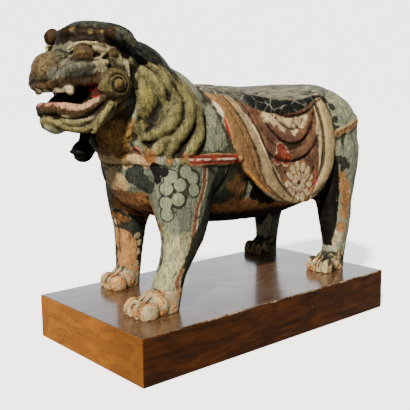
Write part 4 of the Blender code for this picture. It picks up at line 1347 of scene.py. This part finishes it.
    # chrysanthemum: petals round a centre, drawn by angle and reach
    across = g.math("ADD", g.math("SUBTRACT", along, 88.0), g.math("MULTIPLY", waver, 8.0))
    above = g.math("ADD", g.math("SUBTRACT", upward, 146.0),
                   g.math("MULTIPLY", g.math("SUBTRACT", small, 0.5), 8.0))
    angle = g.math("ARCTAN2", above, across)
    reach = g.math("SQRT",
                   g.math("ADD", g.math("MULTIPLY", across, across), g.math("MULTIPLY", above, above)))
    petalEdge = g.math("ABSOLUTE", g.math("SINE", g.math("MULTIPLY", angle, 6.5)))
    outer = g.math("ADD", 21.0, g.math("MULTIPLY", petalEdge, 10.0))
    innerEdge = g.math("ABSOLUTE", g.math("SINE", g.math("ADD", g.math("MULTIPLY", angle, 4.5), 0.8)))
    inner = g.math("ADD", 9.0, g.math("MULTIPLY", innerEdge, 6.0))
    onFlower = zone("flower", -6, 6, 2)
    petals = both(g.between(g.math("SUBTRACT", outer, reach), -0.8, 0.8), g.between(petalEdge, 0.22, 0.42))
    heart = both(g.between(g.math("SUBTRACT", inner, reach), -0.8, 0.8), g.between(innerEdge, 0.2, 0.4))
    petals = g.math("MAXIMUM", petals, heart)
    field = g.mix(both(onFlower, g.between(reach, 34, 30)), field, tone("flowerGround", middle))
    wornPetals = both(onFlower, petals, g.between(small, 0.38, 0.52, 0.5, 1.0))
    field = g.mix(wornPetals, field, tone("petalWorn", small))
    petalRim = g.math("SUBTRACT", reach, g.math("ADD", inner, 2.0))
    field = g.mix(both(onFlower, lineAt(petalRim, 1.6, 0.6)), field, tone("madder"))
    field = g.mix(g.between(reach, 5.0, 3.5), field, tone("flowerHeart"))
    # second fold, border and the roll at the rear, each with its seam
    for name, wander, paint, share, seam, outside, inside, strength in (
            ("second", 5.0, "foldCream", small, "foldSeam", 1.5, 0.6, 0.7),
            ("border", 3.0, "ochre", brushed, "borderSeam", 1.8, 0.9, 0.8),
            ("clothRoll", 5.0, "clothRoll", small, "rollSeam", 1.9, 1.0, 0.85)):
        edge = wavering(name, wander)
        field = g.mix(g.between(edge, -0.8, 0.8), field, tone(paint, share))
        field = g.mix(g.math("MULTIPLY", lineAt(edge, outside, inside), strength), field, tone(seam))
    field = g.mix(zone("hemRed", 6.5, 5, 0.8), field, tone("hemRed"))
    field = g.mix(zone("hemOrange", 6.0, 5, 1.0), field, tone("hemOrange"))
    field = g.mix(zone("foldCream", 8.0, 5, 0.8), field, tone("foldLine"))
    colour = g.mix(cloth, colour, field)
    hem = both(g.between(g.field("cloth"), 3.4, 2.4), cloth)
    colour = g.mix(g.math("MULTIPLY", hem, 0.7), colour, tone("hem"))

    # back and saddle pad
    onBack = both(zone("backDark", 0, 3, 0.8), inverse(zone("hair", 0, 3, 2)), g.between(along, -58, -52),
                  g.between(along, 176, 160))
    padFront = tone("padFront", g.between(wiped, 0.32, 0.68))
    colour = g.mix(onBack, colour, g.mix(g.between(along, -6, 16), padFront, tone("padBlack")))
    padSide = both(onBack, g.between(along, 4, 20), inverse(zone("backTop", 0, 4, 1.2)))
    cracks = g.add("TexVoronoi", feature="DISTANCE_TO_EDGE")
    g.put(cracks.inputs["Vector"], place)
    cracks.inputs["Scale"].default_value = 46.0
    cracked = both(onBack, g.between(cracks.outputs["Distance"], 0.045, 0.018),
                   g.between(middle, 0.44, 0.56))
    colour = g.mix(cracked, colour, tone("padCracks"))
    top = both(zone("backTop", 0, 4, 1.2), inverse(zone("hair", 0, 3, 2)), g.between(along, 215, 190),
               g.between(along, -50, -38))
    colour = g.mix(top, colour, tone("backTop", g.between(wiped, 0.34, 0.62)))
    topEdge = both(onBack, lineAt(wavering("backTop", 6.0), 1.6, 0.7))
    colour = g.mix(g.math("MULTIPLY", topEdge, 0.35), colour, tone("backEdge"))

    # breast band, crupper and the red edge
    band = wavering("bandAcross", 1.2)
    onBand = both(lineAt(band, 9.4, 8.6), g.between(along, -113, -109), inverse(cloth))
    colour = g.mix(onBand, colour, tone("bandEdge", small))
    colour = g.mix(both(onBand, lineAt(band, 6.4, 5.6)), colour, tone("bandRed", small))
    colour = g.mix(both(onBand, lineAt(band, 1.8, 1.1), g.between(middle, 0.40, 0.50)), colour,
                   tone("bandCream"))
    strap = wavering("crupper", 1.6)
    onStrap = both(lineAt(strap, 7.6, 6.8), inverse(cloth))
    colour = g.mix(onStrap, colour, tone("strap", small))
    colour = g.mix(both(onStrap, lineAt(strap, 4.0, 3.0)), colour, tone("strapMiddle", small))
    colour = g.mix(zone("redEdge", 8.4, 3.0, 0.7), colour, tone("red"))
    colour = g.mix(zone("creamEdge", 7.0, 3, 0.8), colour, tone("creamEdge"))

    # age over everything: thin paint, rubbed crests, bare wood in flakes, painted highlights on the crests,
    # dirt and painted shade in the hollows
    worn = g.groupOf(rubbed, Place=place, Crest=crest, Form=form, Wear=0.40)
    timber = g.groupOf(grain, Place=place, Fineness=1.0)
    bare = tone("bareWood", timber["Bands"])
    bare = g.mix(g.math("MULTIPLY", timber["Fibre"], 0.5), bare, tone("woodFibre"))
    pale = tone("gesso", small)
    grimeAndShade = tone("grimeAndShade", small)
    colour = g.mix(worn["Thin"], colour, g.mix(1.0, colour, (1.18, 1.15, 1.08, 1), "MULTIPLY"))
    colour = g.mix(g.math("MULTIPLY", worn["Rim"], 0.34), colour, pale)
    colour = g.mix(g.math("MULTIPLY", worn["Bare"], 0.6), colour, bare)
    # painted highlight: colour lightened on the carved crests
    crestHighlight = g.between(crest, 0.30, 1.4)
    colour = g.mix(crestHighlight, colour, g.mix(1.0, colour, (1.42, 1.38, 1.28, 1), "MULTIPLY"))
    split = both(g.between(scored.outputs["Distance"], 0.060, 0.012), g.between(middle, 0.46, 0.58),
                 inverse(cloth))
    colour = g.mix(g.math("MULTIPLY", split, 0.6), colour, grimeAndShade)
    colour = g.mix(g.math("MULTIPLY", worn["HollowDirtAndShade"], 0.85), colour, grimeAndShade)
    # black laid over all: painted shade under the ears, under the cloth's hem on the belly, under the brow's
    # edge and on the front of the rear thighs; the same black also darkens the bell, the wedge, the nape and
    # the pad's side
    deep = both(zone("thighBlackAndShade", 0, 6, 1.2), g.between(middle, 0.62, 0.56))
    for name in ("earShadow", "bellDark", "wedge", "bellyShadow"):
        deep = g.math("MAXIMUM", deep, zone(name, 0, 5, 1))
    deep = g.math("MAXIMUM", deep, both(zone("brow", 0, 6, 2), 0.45))
    deep = g.math("MAXIMUM", deep, both(zone("napeDark", 0, 10, 4), 0.75))
    deep = g.math("MAXIMUM", both(deep, inverse(cloth)), both(padSide, 0.6))
    colour = g.mix(g.math("MULTIPLY", deep, 0.85), colour, tone("shadeAndBlackPaint"))
    # specks and brush marks
    shade = g.math("MULTIPLY", g.between(speck, 0.30, 0.70, 0.64, 1.36),
                   g.between(brushed, 0.30, 0.70, 0.82, 1.18))
    grey = g.add("CombineColor")
    for socket in grey.inputs[:3]:
        g.put(socket, shade)
    colour = g.mix(1.0, colour, grey.outputs[0], "MULTIPLY")
    g.put(shader.inputs["Base Color"], colour)
    uneven = g.math("ADD", g.math("MULTIPLY", small, 0.6), g.math("MULTIPLY", worn["Bare"], 0.4))
    g.put(shader.inputs["Roughness"], g.between(uneven, 0.2, 0.9, 0.50, 0.82))
    shader.inputs["Specular IOR Level"].default_value = 0.06
    height = g.math("ADD", g.math("MULTIPLY", worn["Height"], 0.5), g.math("MULTIPLY", small, 0.6))
    height = g.math("ADD", height, g.math("MULTIPLY", timber["Fibre"], 0.35))
    height = g.math("ADD", height, g.math("MULTIPLY", speck, 0.25))
    bump = g.add("Bump")
    bump.inputs["Strength"].default_value = 0.75
    bump.inputs["Distance"].default_value = 0.0016
    g.put(bump.inputs["Height"], height)
    g.put(shader.inputs["Normal"], bump.outputs[0])
    return material


plinthFinish = {
    "side": (92, 48, 12),
    "sideDark": (46, 23, 7),
    "sideStreak": (22, 10, 5),
    "end": (186, 116, 34),
    "endDark": (150, 90, 28),
    "endBand": (132, 78, 24),
    "endFibre": (92, 50, 16),
    "endShade": (84, 46, 18),
    "endLine": (66, 36, 14),
    "top": (104, 76, 54),
    "topDark": (74, 48, 30),
    "topFibre": (50, 32, 20),
    "scuff": (200, 180, 150),
}
plinthSize = (0.5533, 0.243, 0.06)


def varnishedWood(grain):
    material = bpy.data.materials.new("varnished plinth wood")
    material.use_nodes = True
    g = Graph(material.node_tree)
    shader = material.node_tree.nodes["Principled BSDF"]
    place = g.add("TexCoord").outputs["Object"]
    facing = g.add("SeparateXYZ")
    g.put(facing.inputs[0], g.add("NewGeometry").outputs["Normal"])
    spot = g.add("SeparateXYZ")
    g.put(spot.inputs[0], place)
    x, y, z = spot.outputs
    stain = {name: chip(*tones) for name, tones in plinthFinish.items()}
    timber = g.groupOf(grain, Place=place, Fineness=1.6)

    def layer(under, mask, share, name):
        return g.mix(g.math("MULTIPLY", mask, share), under, stain[name])

    # curled figure on the ends, long grain on the sides and top
    curl = g.noise(g.stretched(place, (12, 9, 26), (24, 0, 0)), 1.5, 4.0, 0.55, 1.3)
    blotch = g.noise(place, 22.0, 3.0, 0.6, 0.8)
    fine = g.noise(place, 420.0, 3.0, 0.6)
    onEnd = g.between(g.math("ABSOLUTE", facing.outputs["X"]), 0.6, 0.9)
    onTop = g.between(facing.outputs["Z"], 0.6, 0.9)
    banded = g.math("MULTIPLY", timber["Bands"], g.between(blotch, 0.30, 0.6, 0.3, 1.0))
    side = g.mix(banded, stain["sideDark"], stain["side"])
    side = layer(side, g.between(timber["Fibre"], 0.45, 0.7), 0.55, "sideStreak")
    # the end's stain is lighter than the side's: partly the wood's end grain, partly painted light where the
    # key light strikes the end
    end = g.mix(g.between(curl, 0.20, 0.76), stain["endDark"], stain["end"])
    end = layer(end, timber["Bands"], 0.35, "endBand")
    end = layer(end, g.between(timber["Fibre"], 0.42, 0.68), 0.5, "endFibre")
    end = layer(end, g.between(y, 0.0, -0.10), 0.45, "endShade")
    curlLine = g.math("ABSOLUTE", g.math("SUBTRACT", curl, 0.46))
    end = layer(end, g.between(curlLine, 0.020, 0.004), 0.4, "endLine")
    top = g.mix(timber["Bands"], stain["topDark"], stain["top"])
    top = layer(top, g.between(timber["Fibre"], 0.48, 0.72), 0.4, "topFibre")
    colour = g.mix(onEnd, side, end)
    colour = g.mix(onTop, colour, top)
    # rubbed edges, from the distance in metres to the nearest edge, and scuffs
    long, wide, tall = plinthSize
    fromEnd = g.math("SUBTRACT", long / 2, g.math("ABSOLUTE", x))
    fromSide = g.math("SUBTRACT", wide / 2, g.math("ABSOLUTE", y))
    fromTop = g.math("SUBTRACT", tall, z)
    pairs = [g.math("ADD", fromEnd, fromSide), g.math("ADD", fromEnd, fromTop),
             g.math("ADD", fromSide, fromTop)]
    edge = g.math("MINIMUM", g.math("MINIMUM", pairs[0], pairs[1]), pairs[2])
    rubbed = g.math("MULTIPLY", edge, 1000.0)
    for unevenness in (fine, blotch):
        rubbed = g.math("ADD", rubbed, g.math("MULTIPLY", g.math("SUBTRACT", unevenness, 0.5), 7.0))
    colour = layer(colour, g.between(rubbed, 1.5, 0.1), 0.6, "scuff")
    scuffs = g.noise(g.stretched(place, (90, 90, 260), (20, 30, 10)), 1.0, 4.0, 0.7)
    colour = layer(colour, g.between(scuffs, 0.70, 0.76), 0.5, "scuff")
    g.put(shader.inputs["Base Color"], colour)
    dull = g.math("ADD", g.math("MULTIPLY", blotch, 0.6), g.math("MULTIPLY", fine, 0.4))
    g.put(shader.inputs["Roughness"], g.between(dull, 0.3, 0.7, 0.24, 0.44))
    shader.inputs["Specular IOR Level"].default_value = 0.16
    g.put(shader.inputs["Coat Weight"], g.between(facing.outputs["Z"], 0.6, 0.9, 0.0, 0.9))
    shader.inputs["Coat Roughness"].default_value = 0.16
    bump = g.add("Bump")
    bump.inputs["Strength"].default_value = 0.35
    bump.inputs["Distance"].default_value = 0.0005
    g.put(bump.inputs["Height"], g.math("ADD", timber["Fibre"], g.math("MULTIPLY", fine, 0.5)))
    g.put(shader.inputs["Normal"], bump.outputs[0])
    return material


studio = {
    "cameraPlace": (-0.6592, -0.7309, 0.3306),
    "cameraAngles": (-40.75, 9.0, -0.65),  # azimuth, elevation and roll in degrees
    "lens": 60.17,
    "sunFrom": (-1.0, -0.60, 0.95),
    "sunSpread": 4.0,  # degrees across, as soft as the shadows' edges
    "sunPower": 11.0,
    "fillFront": 0.25,
    "fillBehind": 2.2,
    "backdrop": 3.7,
    "floorGlow": 1.6,
    "floorTone": 0.96,
    "floorBounce": 0.16,  # how much light the floor throws back up
}


def placeCamera():
    data = bpy.data.cameras.new("photograph view")
    camera = bpy.data.objects.new("photograph view", data)
    bpy.context.scene.collection.objects.link(camera)
    data.sensor_width = 36
    data.lens = studio["lens"]
    data.clip_start = 0.01
    azimuth, elevation, roll = [math.radians(angle) for angle in studio["cameraAngles"]]
    back = Vector((math.sin(azimuth) * math.cos(elevation), -math.cos(azimuth) * math.cos(elevation),
                   math.sin(elevation)))
    level = (-back).cross(Vector((0, 0, 1))).normalized()
    upright = level.cross(-back)
    right = level * math.cos(roll) + upright * math.sin(roll)
    up = upright * math.cos(roll) - level * math.sin(roll)
    turned = Matrix((right, up, back)).transposed().to_4x4()
    camera.matrix_world = Matrix.Translation(studio["cameraPlace"]) @ turned
    bpy.context.scene.camera = camera


def addSun():
    data = bpy.data.lights.new("key", "SUN")
    data.energy = studio["sunPower"]
    data.angle = math.radians(studio["sunSpread"])
    data.color = (1.0, 0.94, 0.84)
    lamp = bpy.data.objects.new("key", data)
    bpy.context.scene.collection.objects.link(lamp)
    lamp.rotation_mode = "QUATERNION"
    lamp.rotation_quaternion = Vector(studio["sunFrom"]).to_track_quat("Z", "Y")


def lightStudio():
    world = bpy.data.worlds.new("studio")
    bpy.context.scene.world = world
    world.use_nodes = True
    nodes, links = world.node_tree.nodes, world.node_tree.links
    backdrop = nodes["Background"]
    backdrop.inputs[0].default_value = (0.90, 0.95, 1.0, 1)
    # dimmer on the viewer's side, so that the shaded sides stay deep and the varnish shines at a low angle
    g = Graph(world.node_tree)
    sky = g.add("TexCoord").outputs["Generated"]
    toward = g.add("VectorMath", operation="DOT_PRODUCT")
    g.put(toward.inputs[0], sky)
    toward.inputs[1].default_value = (0.65, 0.76, 0.0)
    rise = g.add("SeparateXYZ")
    g.put(rise.inputs[0], sky)
    behind = g.between(toward.outputs["Value"], 0.35, 0.95)
    glow = g.math("MULTIPLY", behind, g.between(rise.outputs["Z"], 0.60, 0.12))
    g.put(backdrop.inputs[1], g.between(glow, 0, 1, studio["fillFront"], studio["fillBehind"]))
    seen = nodes.new("ShaderNodeBackground")
    seen.inputs[0].default_value = (1, 1, 1, 1)
    seen.inputs[1].default_value = studio["backdrop"]
    ray = nodes.new("ShaderNodeLightPath")
    blend = nodes.new("ShaderNodeMixShader")
    links.new(ray.outputs["Is Camera Ray"], blend.inputs[0])
    links.new(backdrop.outputs[0], blend.inputs[1])
    links.new(seen.outputs[0], blend.inputs[2])
    links.new(blend.outputs[0], nodes["World Output"].inputs[0])
    addSun()


def layFloor():
    bm = bmesh.new()
    bmesh.ops.create_grid(bm, x_segments=1, y_segments=1, size=9)
    mesh = bpy.data.meshes.new("floor")
    bm.to_mesh(mesh)
    bm.free()
    floor = bpy.data.objects.new("floor", mesh)
    bpy.context.scene.collection.objects.link(floor)
    material = bpy.data.materials.new("pale floor")
    material.use_nodes = True
    shader = material.node_tree.nodes["Principled BSDF"]
    g = Graph(material.node_tree)
    tones = [(tone, tone, tone, 1) for tone in (studio["floorBounce"], studio["floorTone"])]
    seen = g.add("LightPath").outputs["Is Camera Ray"]
    g.put(shader.inputs["Base Color"], g.mix(seen, *tones))
    shader.inputs["Roughness"].default_value = 0.9
    shader.inputs["Emission Color"].default_value = (1, 1, 1, 1)
    g.put(shader.inputs["Emission Strength"], g.math("MULTIPLY", seen, studio["floorGlow"]))
    mesh.materials.append(material)


carved = shapedLion()
tell("fused %d points" % len(carved.vertices))
carved = carveFigure(carved)
tell("carved")
carved = flatSoles(reduced(carved, figure["triangles"]))
tell("thinned to %d triangles" % len(carved.polygons))
skin = Skin(carved)
storeFields(carved, paintFields(skin))
tell("paint fields laid")
carved.transform(Matrix.Translation(figure["place"]) @ Matrix.Scale(figure["height"] / figure["drawn"], 4))
carving = bpy.data.objects.new("carved_lion", carved)
bpy.context.scene.collection.objects.link(carving)
carved.shade_smooth()
grain = grainGroup()
rubbed = rubbedGroup()
carved.materials.clear()
carved.materials.append(woodPaint(grain, rubbed))
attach(carving, "root")
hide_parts("lion")
plinth = bpy.data.objects["plinth"]
varnish = varnishedWood(grain)
for slot in plinth.material_slots:
    slot.material = varnish
tell("finishes laid")

placeCamera()
lightStudio()
layFloor()
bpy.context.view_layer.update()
tell("done")
